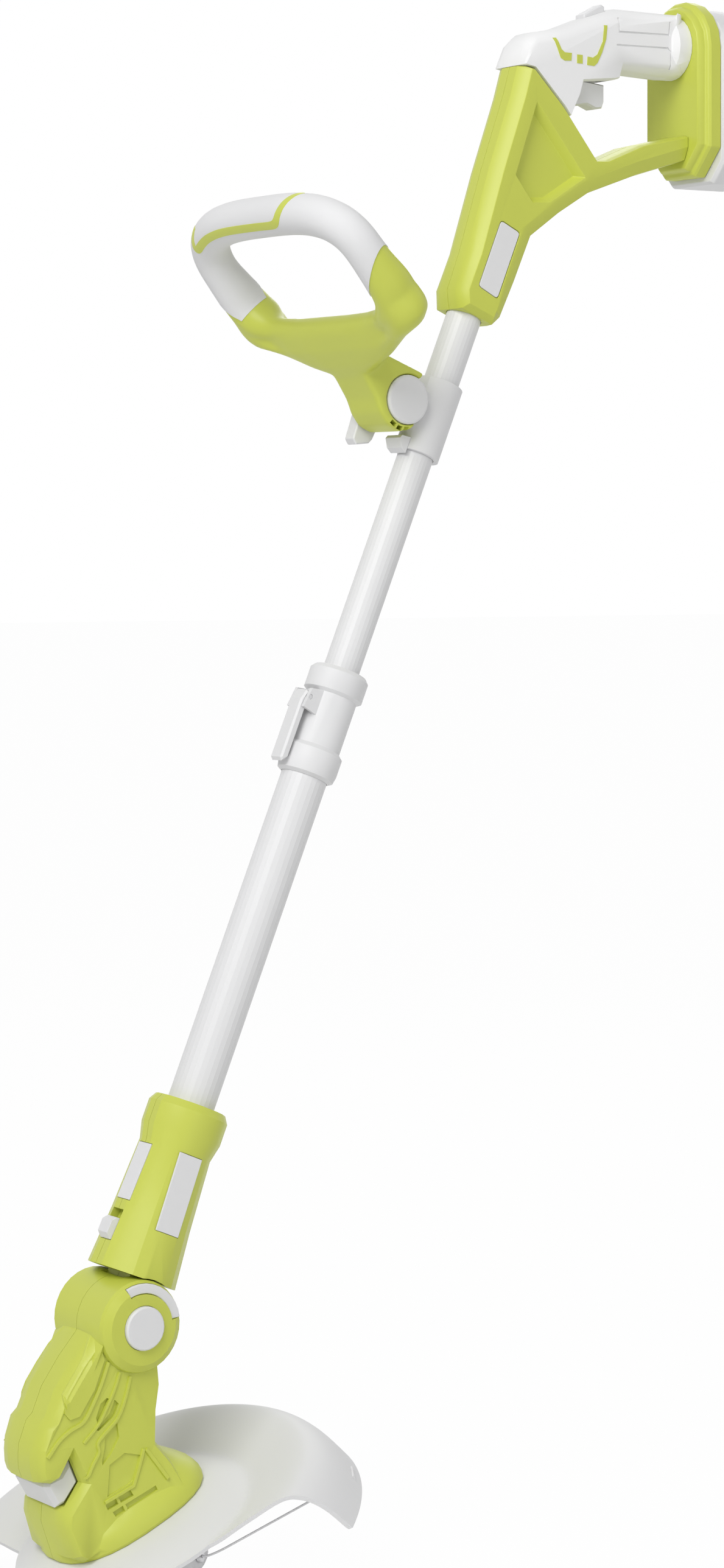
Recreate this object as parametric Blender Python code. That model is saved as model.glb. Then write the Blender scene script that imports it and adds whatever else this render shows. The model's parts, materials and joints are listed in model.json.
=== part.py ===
"""Cordless string trimmer, modelled for Blender 4.5 in metres with +Z up.

The origin is the centre of the rear grip. +X points to the rear, +Y is the user's
right as the trimmer is carried, and the shaft leans forward and down in the XZ plane.
Parts of the shaft sit under an empty on its axis, the front handle under an empty on
its pivot, and the cutting head under an empty on its tilt axis.
"""

import math

import bmesh
import bpy
from mathutils import Matrix, Vector

MM = 0.001

# The two sides of the trimmer: the sign of Y, and the user's name for it
SIDES = ((1, "right"), (-1, "left"))

# Facets round a turned piece
WIDE_SIDES = 32
TUBE_SIDES = 28
SMALL_SIDES = 20
PIN_SIDES = 14

# Clearances
FIT = 0.3 * MM
SEAM = 0.15 * MM

# Shaft
SHAFT_LEAN = math.radians(22.94)
SHAFT_ORIGIN = Vector((-220 * MM, 0, -343 * MM))
UPPER_TUBE_RADIUS = 12.7 * MM
LOWER_TUBE_RADIUS = 16.3 * MM
TUBE_WALL = 1.4 * MM
UPPER_TUBE_TOP = 214 * MM
UPPER_TUBE_END = -262 * MM
LOWER_TUBE_TOP = -164 * MM
LOWER_TUBE_END = -500 * MM
GUIDE_LENGTH = 34 * MM

# Rear housing and grip
HOUSING_HALF_WIDTH = 19 * MM
HOUSING_BOTTOM = 149 * MM
POCKET_DEPTH = 7 * MM
PANEL_THICKNESS = 1.6 * MM
GRIP_HALF_WIDTH = 18.5 * MM
GRIP_HEIGHT = 45 * MM
FLANGE_RADIUS = 23.5 * MM
FLANGE_LENGTH = 15 * MM

# Trigger, switch and lock-off button
TRIGGER_PIVOT = Vector((-72 * MM, -33 * MM))
TRIGGER_LENGTH = 32 * MM
TRIGGER_WIDTH = 13 * MM
TRIGGER_PIN_RADIUS = 1.5 * MM
SWITCH_TOP = -8 * MM
SWITCH_HEIGHT = 14 * MM
LOCK_FRONT = -58 * MM
LOCK_BACK = -39 * MM
LOCK_WIDTH = 11 * MM
LOCK_BUTTON_TRAVEL = 3 * MM

# Battery mount and battery
MOUNT_FRONT = 28.3 * MM
MOUNT_THICKNESS = 17.5 * MM
MOUNT_HALF_WIDTH = 35 * MM
MOUNT_TOP = 34 * MM
MOUNT_FOOT = -96 * MM
SOCKET_DEPTH = 13 * MM
SOCKET_HALF_WIDTH = 17 * MM
SOCKET_HEIGHT = 44 * MM
SOCKET_MIDDLE = -28 * MM
BATTERY_LENGTH = 58 * MM
BATTERY_HALF_WIDTH = 37 * MM
TERMINAL_HALF_WIDTH = 11 * MM
TERMINAL_HALF_HEIGHT = 15 * MM
LATCH_WIDTH = 22 * MM
LATCH_LENGTH = 24 * MM
LATCH_TRAVEL = 2.5 * MM
LATCH_RIBS = 4

# Front handle and its bracket
HANDLE_TILT = math.radians(-37.6)
BARREL_P = -33 * MM
BARREL_T = 70 * MM
BARREL_RADIUS = 17.3 * MM
BARREL_HALF_LENGTH = 20 * MM
BARREL_CAP = 4 * MM
BRACKET_RADIUS = 16.5 * MM
BRACKET_LOW = 42 * MM
BRACKET_HIGH = 97 * MM
CLAMP_BOLT_RADIUS = 3 * MM
LEVER_THICKNESS = 13 * MM
LEVER_HUB_RADIUS = 11 * MM
JAW_WALL = 7.5 * MM
LOOP_OFFSET = -10.7 * MM
LOOP_BASE = 60.7 * MM
LOOP_HALF_WIDTH = 91 * MM
LOOP_TOP = 102 * MM
LOOP_FOOT = 9 * MM
LOOP_BAR_RADIUS = 14 * MM
LOOP_LIMB_RADIUS = 13 * MM
LOOP_LOW_RADIUS = 8.5 * MM
SLEEVE_WALL = 2.4 * MM
SLEEVE_FROM = math.radians(-14)
SLEEVE_TO = math.radians(188)
LOOP_STEPS = 16
JAW_FROM = math.radians(257)
JAW_TO = math.radians(14)

# Telescopic collar
COLLAR_TOP = -121 * MM
COLLAR_END = -199 * MM
COLLAR_WAIST_RADIUS = 17.9 * MM
COLLAR_FLANGE_RADIUS = 21 * MM
COLLAR_LEVER_WIDTH = 14 * MM
LEVER_PIN_RADIUS = 1.6 * MM

# Swivel neck
NECK_TOP = -434 * MM
NECK_END = -553 * MM
NECK_RIM_RADIUS = 27 * MM
RING_RADIUS = 20 * MM
RING_LOW = -494 * MM
RING_WIDTH = 8 * MM
FRONT_PANEL_LOW = -508 * MM
FRONT_PANEL_HIGH = -468 * MM
FRONT_PANEL_HALF = 8 * MM
SIDE_PANEL_LOW = -521 * MM
SIDE_PANEL_HIGH = -467 * MM
SIDE_PANEL_FRONT = 11 * MM
SIDE_PANEL_BACK = 8 * MM
SWIVEL_BUTTON_LOW = -536 * MM
SWIVEL_BUTTON_HIGH = -521 * MM
SWIVEL_BUTTON_HALF = 6 * MM
SWIVEL_BUTTON_TRAVEL = 6 * MM

# Head tilt joint
PIVOT_T = -583 * MM
HEAD_TURN = math.radians(-24.5)
DRUM_RADIUS = 30.5 * MM
DRUM_NEAR = 35.5 * MM
DRUM_FAR = 33 * MM
TONGUE_HALF_WIDTH = 14 * MM
TONGUE_RADIUS = 22 * MM
TONGUE_STEM = 20 * MM
SLOT_FROM = math.radians(-27)
SLOT_TO = math.radians(72)
PIVOT_BUTTON_RADIUS = 14.5 * MM
PIVOT_BUTTON_PROUD = 3 * MM
PIVOT_BUTTON_TRAVEL = 3 * MM
BUTTON_WELL = 13 * MM
AXLE_RADIUS = 4 * MM
AXLE_INSET = 5 * MM

# Cutting head
BASE_PLANE = -119.5 * MM
BASE_FRONT = -107 * MM
BASE_REAR = 10 * MM
BASE_HALF_WIDTH = 44 * MM
MOUTH_HALF = 22 * MM
SPINDLE_E = -46 * MM
SPINDLE_RADIUS = 4 * MM
MOTOR_RADIUS = 18 * MM
MOTOR_LENGTH = 42 * MM
MOTOR_LOW = -86 * MM
BEARING_RADIUS = 11 * MM
BEARING_WIDTH = 7 * MM
BEARING_LOW = -108 * MM
GUARD_DISC_RADIUS = 83 * MM
GUARD_RIM_RADIUS = 152 * MM
GUARD_RIM_DROP = 40 * MM
BLADE_TURN = math.radians(-32)
GUARD_BORE = 20 * MM
GUARD_WALL = 2.6 * MM
GUARD_STEPS = 18

SCREW_RADIUS = 2 * MM
SCREW_HEAD_RADIUS = 4 * MM
SCREW_HEAD_HEIGHT = 2.4 * MM
SCREW_LENGTH = 10 * MM
SCREW_FORWARD = 6 * MM
SCREW_OUT = 32 * MM

# Spool and line
SPOOL_TOP = -134 * MM
SPOOL_RADIUS = 40 * MM
SPOOL_HEIGHT = 34 * MM
SPOOL_WALL = 2.5 * MM
REEL_CORE = 14 * MM
REEL_FLANGE = 1.6 * MM
COVER_DROP = 7 * MM
EYELET_RADIUS = 2.7 * MM
LINE_RADIUS = 0.8 * MM
LINE_N = -160 * MM
LINE_BEND = (40 * MM, -47.5 * MM)
LINE_END = (126 * MM, -69 * MM)
EYELET_TURN = math.radians(-60)


def mm(*points):
    """Points written in millimetres, as vectors in metres."""
    return [Vector(point) * MM for point in points]


def material(name, color, roughness, metallic=0.0):
    made = bpy.data.materials.new(name)
    made.use_nodes = True
    shader = made.node_tree.nodes["Principled BSDF"]
    shader.inputs["Base Color"].default_value = (*color, 1)
    shader.inputs["Roughness"].default_value = roughness
    shader.inputs["Metallic"].default_value = metallic
    return made


def frame(name, place, turn, parent=None):
    """An empty turned about Y, which carries a sub-assembly."""
    empty = bpy.data.objects.new(name, None)
    empty.location = place
    empty.rotation_euler = (0, turn, 0)
    empty.parent = parent
    bpy.context.scene.collection.objects.link(empty)
    return empty


def finish(name, mesh, look, parent, place=(0, 0, 0), turn=(0, 0, 0)):
    """Turns a bmesh into a named object under its parent, with outward faces."""
    bmesh.ops.remove_doubles(mesh, verts=mesh.verts, dist=1e-6)
    bmesh.ops.recalc_face_normals(mesh, faces=mesh.faces)
    data = bpy.data.meshes.new(name)
    mesh.to_mesh(data)
    mesh.free()
    data.shade_smooth()
    data.set_sharp_from_angle(angle=math.radians(32))
    made = bpy.data.objects.new(name, data)
    made.parent = parent
    made.location = place
    made.rotation_euler = turn
    if look:
        data.materials.append(look)
    else:
        made.hide_render = True
        made.display_type = "WIRE"
    bpy.context.scene.collection.objects.link(made)
    return made


def combine(target, other, operation):
    step = target.modifiers.new(f"{operation.lower()} {other.name}", "BOOLEAN")
    step.operation = operation
    step.solver = "EXACT"
    step.object = other


def cut(target, mesh, place=(0, 0, 0), turn=(0, 0, 0)):
    """Takes a shape, given in the target's parent frame, out of the target."""
    name = f"cutter_{target.name}_{len(target.modifiers)}"
    combine(target, finish(name, mesh, None, target.parent, place, turn), "DIFFERENCE")


def join(target, mesh, place=(0, 0, 0), turn=(0, 0, 0)):
    """Adds a shape, given in the target's parent frame, to the target."""
    name = f"added_{target.name}_{len(target.modifiers)}"
    combine(target, finish(name, mesh, None, target.parent, place, turn), "UNION")


def loft(rings):
    """A closed solid through rings of equally many points, capped at both ends."""
    mesh = bmesh.new()
    loops = [[mesh.verts.new(point) for point in ring] for ring in rings]
    for below, above in zip(loops, loops[1:]):
        for i in range(len(below)):
            j = (i + 1) % len(below)
            mesh.faces.new((below[i], below[j], above[j], above[i]))
    mesh.faces.new(loops[0][::-1])
    mesh.faces.new(loops[-1])
    return mesh


def inset(outline, depths):
    """Moves each edge of an anticlockwise 2-D outline inwards by its own depth."""
    count = len(outline)
    if not isinstance(depths, (list, tuple)):
        depths = [depths] * count
    moved = []
    for i, point in enumerate(outline):
        before = (point - outline[i - 1]).normalized()
        after = (outline[(i + 1) % count] - point).normalized()
        normal_a = Vector((-before.y, before.x))
        normal_b = Vector((-after.y, after.x))
        a, b = depths[i - 1], depths[i]
        cross = before.cross(after)
        if abs(cross) < 0.5:
            moved.append(point + (normal_a + normal_b).normalized() * (a + b) / 2)
        else:
            moved.append(point + (after * a - before * b) / cross)
    return moved


def fillet(outline, radius, steps=3):
    """Rounds the corners of a closed 2-D outline. A radius of 0 keeps a corner."""
    count = len(outline)
    radii = radius if isinstance(radius, (list, tuple)) else [radius] * count
    rounded = []
    for i, point in enumerate(outline):
        to_last = outline[i - 1] - point
        to_next = outline[(i + 1) % count] - point
        angle = to_last.angle(to_next)
        if radii[i] <= 0 or angle > math.radians(176):
            rounded.append(point)
            continue
        reach = radii[i] / math.tan(angle / 2)
        reach = min(reach, 0.48 * to_last.length, 0.48 * to_next.length)
        start = point + to_last.normalized() * reach
        end = point + to_next.normalized() * reach
        for k in range(steps + 1):
            t = k / steps
            rounded.append(start * (1 - t) ** 2 + point * 2 * t * (1 - t) + end * t**2)
    return rounded


def upright(point, y):
    """A point of a side-view outline (x, z), set at y."""
    return Vector((point.x, y, point.y))


def slab(outline, stations):
    """A solid of side view `outline` (x, z), through (y, inset depths) stations."""
    return loft([[upright(p, y) for p in inset(outline, depth)] for y, depth in stations])


def turned(profile, sides=WIDE_SIDES, axis="Z"):
    """A solid of revolution from a closed (radius, height) profile about an axis."""
    mesh = bmesh.new()
    rows = []
    for radius, height in profile:
        if radius < 1e-7:
            rows.append([mesh.verts.new((0, 0, height))])
            continue
        row = []
        for k in range(sides):
            angle = 2 * math.pi * k / sides
            row.append(mesh.verts.new((radius * math.cos(angle), radius * math.sin(angle), height)))
        rows.append(row)
    for below, above in zip(rows, rows[1:] + rows[:1]):
        if len(below) == 1 and len(above) == 1:
            continue
        for k in range(sides):
            n = (k + 1) % sides
            corners = [below[k % len(below)], below[n % len(below)]]
            corners += [above[n % len(above)], above[k % len(above)]]
            mesh.faces.new(list(dict.fromkeys(corners)))
    if axis == "Y":
        bmesh.ops.rotate(mesh, verts=mesh.verts, matrix=Matrix.Rotation(math.radians(-90), 3, "X"))
    if axis == "X":
        bmesh.ops.rotate(mesh, verts=mesh.verts, matrix=Matrix.Rotation(math.radians(90), 3, "Y"))
    return mesh


def rod(radius, low, high, sides=SMALL_SIDES, axis="Z"):
    return turned([(0, low), (radius, low), (radius, high), (0, high)], sides, axis)


def pipe(outer, inner, low, high, sides=TUBE_SIDES, axis="Z"):
    return turned([(inner, low), (outer, low), (outer, high), (inner, high)], sides, axis)


def moved(mesh, offset):
    bmesh.ops.translate(mesh, verts=mesh.verts, vec=offset)
    return mesh


def box(low, high):
    mesh = bmesh.new()
    bmesh.ops.create_cube(mesh, size=1)
    low, high = Vector(low), Vector(high)
    for vert in mesh.verts:
        vert.co = Vector(((low[i] + high[i]) / 2 + vert.co[i] * (high[i] - low[i]) for i in range(3)))
    return mesh


def oval(half_a, half_b, power=2.0, count=16, middle=(0, 0)):
    """A superellipse as 2-D points, anticlockwise."""
    points = []
    for k in range(count):
        angle = 2 * math.pi * (k + 0.5) / count
        c, s = math.cos(angle), math.sin(angle)
        a = math.copysign(abs(c) ** (2 / power), c) * half_a
        b = math.copysign(abs(s) ** (2 / power), s) * half_b
        points.append(Vector((middle[0] + a, middle[1] + b)))
    return points


def tube_along(points, radius, sides):
    """A round filament along points that lie in one level plane."""
    rings = []
    for i, point in enumerate(points):
        along = (points[min(i + 1, len(points) - 1)] - points[max(i - 1, 0)]).normalized()
        side = Vector((-along.y, along.x, 0))
        ring = []
        for k in range(sides):
            angle = 2 * math.pi * k / sides
            ring.append(point + side * radius * math.cos(angle) + Vector((0, 0, radius * math.sin(angle))))
        rings.append(ring)
    return loft(rings)


def on_shaft(p, t):
    """A point of the shaft's own side view, as (x, z) from the grip's centre."""
    c, s = math.cos(SHAFT_LEAN), math.sin(SHAFT_LEAN)
    return Vector((SHAFT_ORIGIN.x + p * c + t * s, SHAFT_ORIGIN.z - p * s + t * c))


def clear_scene():
    for old in list(bpy.data.objects):
        bpy.data.objects.remove(old, do_unlink=True)


def offset_line(points, distance):
    """An open 2-D line moved to its left by a distance, with mitred corners."""
    moved_points = []
    for i, point in enumerate(points):
        before = (point - points[max(i - 1, 0)]).normalized()
        after = (points[min(i + 1, len(points) - 1)] - point).normalized()
        before = after if i == 0 else before
        after = before if i == len(points) - 1 else after
        normal = Vector((-before.y - after.y, before.x + after.x)).normalized()
        share = normal.dot(Vector((-before.y, before.x)))
        moved_points.append(point + normal * distance / share)
    return moved_points


def crest_line():
    """The line where the pale grip meets the lime housing, from its tip down its inner edge."""
    return [on_shaft(-33 * MM, 331 * MM)] + mm((-112, -27), (-85.5, -53), (-80, -59.7))


def housing_outline():
    """Side view of the rear housing, and the kind of each of its edges."""
    shaft = [(-14, HOUSING_BOTTOM / MM), (15, HOUSING_BOTTOM / MM), (19.5, 157), (21.3, 186), (22, 222)]
    web = [(38.3, 248), (56.8, 273), (92, 305)]
    front = [(-30.5, 309), (-27.4, 252), (-22, 190), (-21, 161)]
    arm_end = MOUNT_FRONT - FIT
    outline = [on_shaft(p * MM, t * MM) for p, t in shaft + web]
    outline += [Vector((arm_end, -85 * MM)), Vector((arm_end, -66 * MM))]
    outline += mm((-14, -75.5), (-46, -88.5), (-56, -89)) + crest_line()[::-1]
    outline += [on_shaft(p * MM, t * MM) for p, t in front]
    kinds = ["end"] * 2 + ["under"] * 6 + ["arm end"] + ["inner"] * 7 + ["front"] * 4 + ["end"]
    return outline, kinds


def pocket_outlines():
    """The mouth and the floor of the five-sided pocket in each side of the housing."""
    corners = [(-13.5, 312), (-10.4, 254.5), (11.3, 243), (25, 250), (47.4, 281)]
    mouth = [on_shaft(p * MM, t * MM) for p, t in corners]
    return mouth, inset(mouth, 4.5 * MM)


def window_outline(gap):
    corners = [(-9.4, 220), (-9.2, 168.3), (10, 166.7), (9.8, 219)]
    outline = [on_shaft(p * MM, t * MM) for p, t in corners]
    return fillet(inset(outline, gap), 2.5 * MM, 2)


def make_housing(side, name, look):
    """One half of the rear housing, with its tube socket, side pocket and window seat."""
    outline, kinds = housing_outline()
    depths = {
        "end": (0, 0.5, 5),
        "under": (0, 1, 10),
        "arm end": (0, 0, 0),
        "inner": (0, 0.2, 1.5),
        "front": (0.3, 3, 7),
    }
    stations = [(side * SEAM, 0.0)]
    for step, y in enumerate((0.47, 0.79, 1.0)):
        stations.append((side * y * HOUSING_HALF_WIDTH, [depths[kind][step] * MM for kind in kinds]))
    shell = finish(name, slab(outline, stations), look, None)
    start = on_shaft(0, HOUSING_BOTTOM - 10 * MM)
    hole = rod(UPPER_TUBE_RADIUS + FIT, 0, UPPER_TUBE_TOP + FIT - HOUSING_BOTTOM + 10 * MM, TUBE_SIDES)
    cut(shell, hole, (start.x, 0, start.y), (0, SHAFT_LEAN, 0))
    mouth, floor = pocket_outlines()
    deep = side * (HOUSING_HALF_WIDTH - POCKET_DEPTH)
    wide = side * (HOUSING_HALF_WIDTH + 0.5 * MM)
    cut(shell, loft([[upright(p, deep) for p in floor], [upright(p, wide) for p in mouth]]))
    seat = side * (HOUSING_HALF_WIDTH - PANEL_THICKNESS - FIT)
    cut(shell, slab(window_outline(0), [(seat, 0.0), (side * (HOUSING_HALF_WIDTH + 4 * MM), 0.0)]))


def make_window_panel(side, name, look):
    low = side * (HOUSING_HALF_WIDTH - PANEL_THICKNESS)
    high = side * (HOUSING_HALF_WIDTH - 0.1 * MM)
    finish(name, slab(window_outline(FIT), [(low, 0.0), (high, 0.3 * MM)]), look, None)


def grip_outline():
    """Side view of the pale rear grip, and how round each of its edges is, from 0 to 1."""
    end = MOUNT_FRONT - FIT
    top = GRIP_HEIGHT / 2
    outline = offset_line(crest_line(), FIT)
    outline += mm((-78.6, -57.5), (-71, -43), (-68, -33), (-38.4, -30), (-33, -29))
    outline += [Vector((-31 * MM, -top)), Vector((18 * MM, -top - 1.5 * MM)), Vector((end, -top - 1 * MM))]
    outline += [Vector((end, top - 1 * MM)), Vector((18 * MM, top)), Vector((-34 * MM, top))]
    outline += mm((-58, 14.5), (-84, 4.5), (-109, -0.5), (-117, -8))
    round_share = [0.05] * 4 + [0.1] * 3 + [0.15, 0.3, 0.6] + [1] * 2 + [0] + [1] * 3 + [0.9, 0.7, 0.4, 0.1]
    return outline, round_share


def make_grip(look):
    outline, shares = grip_outline()
    half = [(0.0, 0.0), (0.5, 0.4), (0.76, 2.5), (0.92, 6.0), (1.0, 10.0)]
    both = [(-y, depth) for y, depth in half[:0:-1]] + half
    stations = [(y * GRIP_HALF_WIDTH, [depth * share * MM for share in shares]) for y, depth in both]
    grip = finish("rear_grip", slab(outline, stations), look, None)
    radius, length = FLANGE_RADIUS, FLANGE_LENGTH
    profile = [(0, 0), (radius - 3.5 * MM, 0), (radius, 4 * MM), (radius, length), (0, length)]
    flange = turned(profile, TUBE_SIDES, "X")
    join(grip, moved(flange, Vector((MOUNT_FRONT - FIT - length, 0, -1 * MM))))
    room = TRIGGER_WIDTH / 2 + FIT
    low = TRIGGER_PIVOT.y - 40 * MM
    front = TRIGGER_PIVOT.x - 5 * MM
    back = TRIGGER_PIVOT.x + TRIGGER_LENGTH + 2 * MM
    cut(grip, box((front, -room, low), (back, room, SWITCH_TOP + FIT)))
    wide = LOCK_WIDTH / 2 + FIT
    cut(grip, box((LOCK_FRONT - FIT, -wide, SWITCH_TOP), (LOCK_BACK + FIT, wide, GRIP_HEIGHT)))


def make_trigger(look, steel):
    """The trigger, on an empty at its pivot, with a curled finger face below."""
    pivot = frame("trigger_pivot", (TRIGGER_PIVOT.x, 0, TRIGGER_PIVOT.y), 0)
    reach = TRIGGER_LENGTH
    outline = mm((-3, -3), (-1, -12), (2, -17.5))
    outline += [Vector((reach * 0.5, -15 * MM)), Vector((reach - 8 * MM, -18 * MM))]
    outline += [Vector((reach - 2 * MM, -17 * MM)), Vector((reach, -12 * MM)), Vector((reach, 0))]
    outline += mm((4, 3), (-2, 3))
    half = TRIGGER_WIDTH / 2
    stations = [(-half, 1.2 * MM), (-half + 1.5 * MM, 0.0), (half - 1.5 * MM, 0.0), (half, 1.2 * MM)]
    trigger = finish("trigger", slab(outline, stations), look, pivot)
    cut(trigger, rod(TRIGGER_PIN_RADIUS + FIT, -half - 2 * MM, half + 2 * MM, PIN_SIDES, "Y"))
    pin = rod(TRIGGER_PIN_RADIUS, -half - FIT / 2, half + FIT / 2, PIN_SIDES, "Y")
    finish("trigger_pin", pin, steel, None, (TRIGGER_PIVOT.x, 0, TRIGGER_PIVOT.y))


def make_switch(look):
    half = TRIGGER_WIDTH / 2
    front, back = TRIGGER_PIVOT.x + 9 * MM, TRIGGER_PIVOT.x + TRIGGER_LENGTH
    body = box((front, -half, SWITCH_TOP - SWITCH_HEIGHT), (back, half, SWITCH_TOP))
    finish("trigger_switch", body, look, None)


def make_lock_button(look):
    """The lock-off button on top of the grip, which slides down against the switch."""
    top = GRIP_HEIGHT / 2
    low = SWITCH_TOP + LOCK_BUTTON_TRAVEL + FIT
    outline = [Vector((LOCK_FRONT, low)), Vector((LOCK_BACK, low)), Vector((LOCK_BACK, top + 1.5 * MM))]
    outline += [Vector((LOCK_BACK - 3 * MM, top + 3 * MM)), Vector((LOCK_FRONT, top - 5.5 * MM))]
    half = LOCK_WIDTH / 2
    stations = [(-half, 0.8 * MM), (-half + 1 * MM, 0.0), (half - 1 * MM, 0.0), (half, 0.8 * MM)]
    finish("lock_off_button", slab(outline, stations), look, None)


def plate_outline(half, top, foot, cut_corner, arch_steps=9):
    """Front view (y, z) of the battery mount: an arched top and two cut lower corners."""
    centre = top - half
    shoulder = foot + cut_corner * 1.15
    points = [Vector((-half + cut_corner, foot)), Vector((half - cut_corner, foot)), Vector((half, shoulder))]
    for k in range(arch_steps + 1):
        angle = math.pi * k / arch_steps
        points.append(Vector((half * math.cos(angle), centre + half * math.sin(angle))))
    points.append(Vector((-half, shoulder)))
    return points


def facing(point, x):
    """A point of a front-view outline (y, z), set at x."""
    return Vector((x, point.x, point.y))


def make_battery_mount(look):
    outline = plate_outline(MOUNT_HALF_WIDTH, MOUNT_TOP, MOUNT_FOOT, 18 * MM)
    steps = [(0, 6.0), (2.5, 4.2), (5.5, 3.8), (6.5, 1.2), (8.5, 0.0)]
    stations = [(x * MM, depth * MM) for x, depth in steps] + [(MOUNT_THICKNESS, 0.0)]
    rings = [[facing(p, MOUNT_FRONT + x) for p in inset(outline, depth)] for x, depth in stations]
    mount = finish("battery_mount", loft(rings), look, None)
    back = MOUNT_FRONT + MOUNT_THICKNESS
    half = SOCKET_HALF_WIDTH
    low = SOCKET_MIDDLE - SOCKET_HEIGHT / 2
    cut(mount, box((back - SOCKET_DEPTH, -half, low), (back + 5 * MM, half, low + SOCKET_HEIGHT)))
    reach = LATCH_WIDTH / 2 - 3 * MM
    for side in (1, -1):
        y = side * (MOUNT_HALF_WIDTH - 5.5 * MM)
        near = (back - 3 * MM, y - 2.4 * MM, SOCKET_MIDDLE - reach)
        far = (back + MM, y + 2.4 * MM, SOCKET_MIDDLE + reach)
        cut(mount, box(near, far))


def make_terminals(look):
    """The contact block in the socket, with its blades towards the battery."""
    floor = MOUNT_FRONT + MOUNT_THICKNESS - SOCKET_DEPTH + FIT
    half, tall = TERMINAL_HALF_WIDTH, TERMINAL_HALF_HEIGHT
    block = box((floor, -half, SOCKET_MIDDLE - tall), (floor + 2.5 * MM, half, SOCKET_MIDDLE + tall))
    made = finish("terminal_block", block, look, None)
    tall -= 6 * MM
    for y in (-7 * MM, 7 * MM):
        near = (floor + 2 * MM, y - 0.4 * MM, SOCKET_MIDDLE - tall)
        far = (floor + 7.5 * MM, y + 0.4 * MM, SOCKET_MIDDLE + tall)
        join(made, box(near, far))


def make_battery(look, latch_look):
    front = MOUNT_FRONT + MOUNT_THICKNESS + FIT
    outline = plate_outline(BATTERY_HALF_WIDTH, MOUNT_TOP - 4 * MM, MOUNT_FOOT - 5 * MM, 14 * MM)
    steps = [(0, 2.0), (3 * MM, 0.0), (BATTERY_LENGTH - 9 * MM, 0.5), (BATTERY_LENGTH, 6.0)]
    rings = [[facing(p, front + x) for p in inset(outline, depth * MM)] for x, depth in steps]
    pack = finish("battery_pack", loft(rings), look, None)
    half = SOCKET_HALF_WIDTH - FIT
    low = SOCKET_MIDDLE - SOCKET_HEIGHT / 2 + FIT
    high = SOCKET_MIDDLE + SOCKET_HEIGHT / 2 - FIT
    stem = SOCKET_DEPTH - 3.5 * MM
    join(pack, box((front - stem, -half, low), (front + 5 * MM, half, high)))
    room_y, room_z = TERMINAL_HALF_WIDTH + MM, TERMINAL_HALF_HEIGHT + MM
    near = (front - stem - MM, -room_y, SOCKET_MIDDLE - room_z)
    far = (front - stem + 6 * MM, room_y, SOCKET_MIDDLE + room_z)
    cut(pack, box(near, far))
    x0, x1 = front + 6 * MM, front + 6 * MM + LATCH_LENGTH
    z0, z1 = SOCKET_MIDDLE - LATCH_WIDTH / 2, SOCKET_MIDDLE + LATCH_WIDTH / 2
    for side, hand in SIDES:
        outer = side * (BATTERY_HALF_WIDTH - 1.2 * MM)
        inner = side * (BATTERY_HALF_WIDTH - 9 * MM)
        deep = inner - side * (LATCH_TRAVEL + FIT)
        ends = sorted((deep, side * (BATTERY_HALF_WIDTH + 5 * MM)))
        cut(pack, box((x0 - FIT, ends[0], z0 - FIT), (x1 + FIT, ends[1], z1 + FIT)))
        ends = sorted((inner, outer))
        latch = finish(f"battery_latch_{hand}", box((x0, ends[0], z0), (x1, ends[1], z1)), latch_look, None)
        ends = sorted((outer - side * 0.8 * MM, outer + side * MM))
        pitch = LATCH_LENGTH / (LATCH_RIBS + 1)
        for k in range(LATCH_RIBS):
            x = x0 + (k + 1) * pitch
            cut(latch, box((x, ends[0], z0 - MM), (x + pitch / 3, ends[1], z1 + MM)))


def make_tubes(look, guide_look, shaft):
    upper = pipe(UPPER_TUBE_RADIUS, UPPER_TUBE_RADIUS - TUBE_WALL, UPPER_TUBE_END, UPPER_TUBE_TOP)
    finish("upper_tube", upper, look, shaft)
    inside = LOWER_TUBE_RADIUS - TUBE_WALL
    finish("lower_tube", pipe(LOWER_TUBE_RADIUS, inside, LOWER_TUBE_END, LOWER_TUBE_TOP), look, shaft)
    low = UPPER_TUBE_END + 2 * MM
    guide = pipe(inside - FIT, UPPER_TUBE_RADIUS + FIT, low, low + GUIDE_LENGTH)
    finish("tube_guide", guide, guide_look, shaft)


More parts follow.
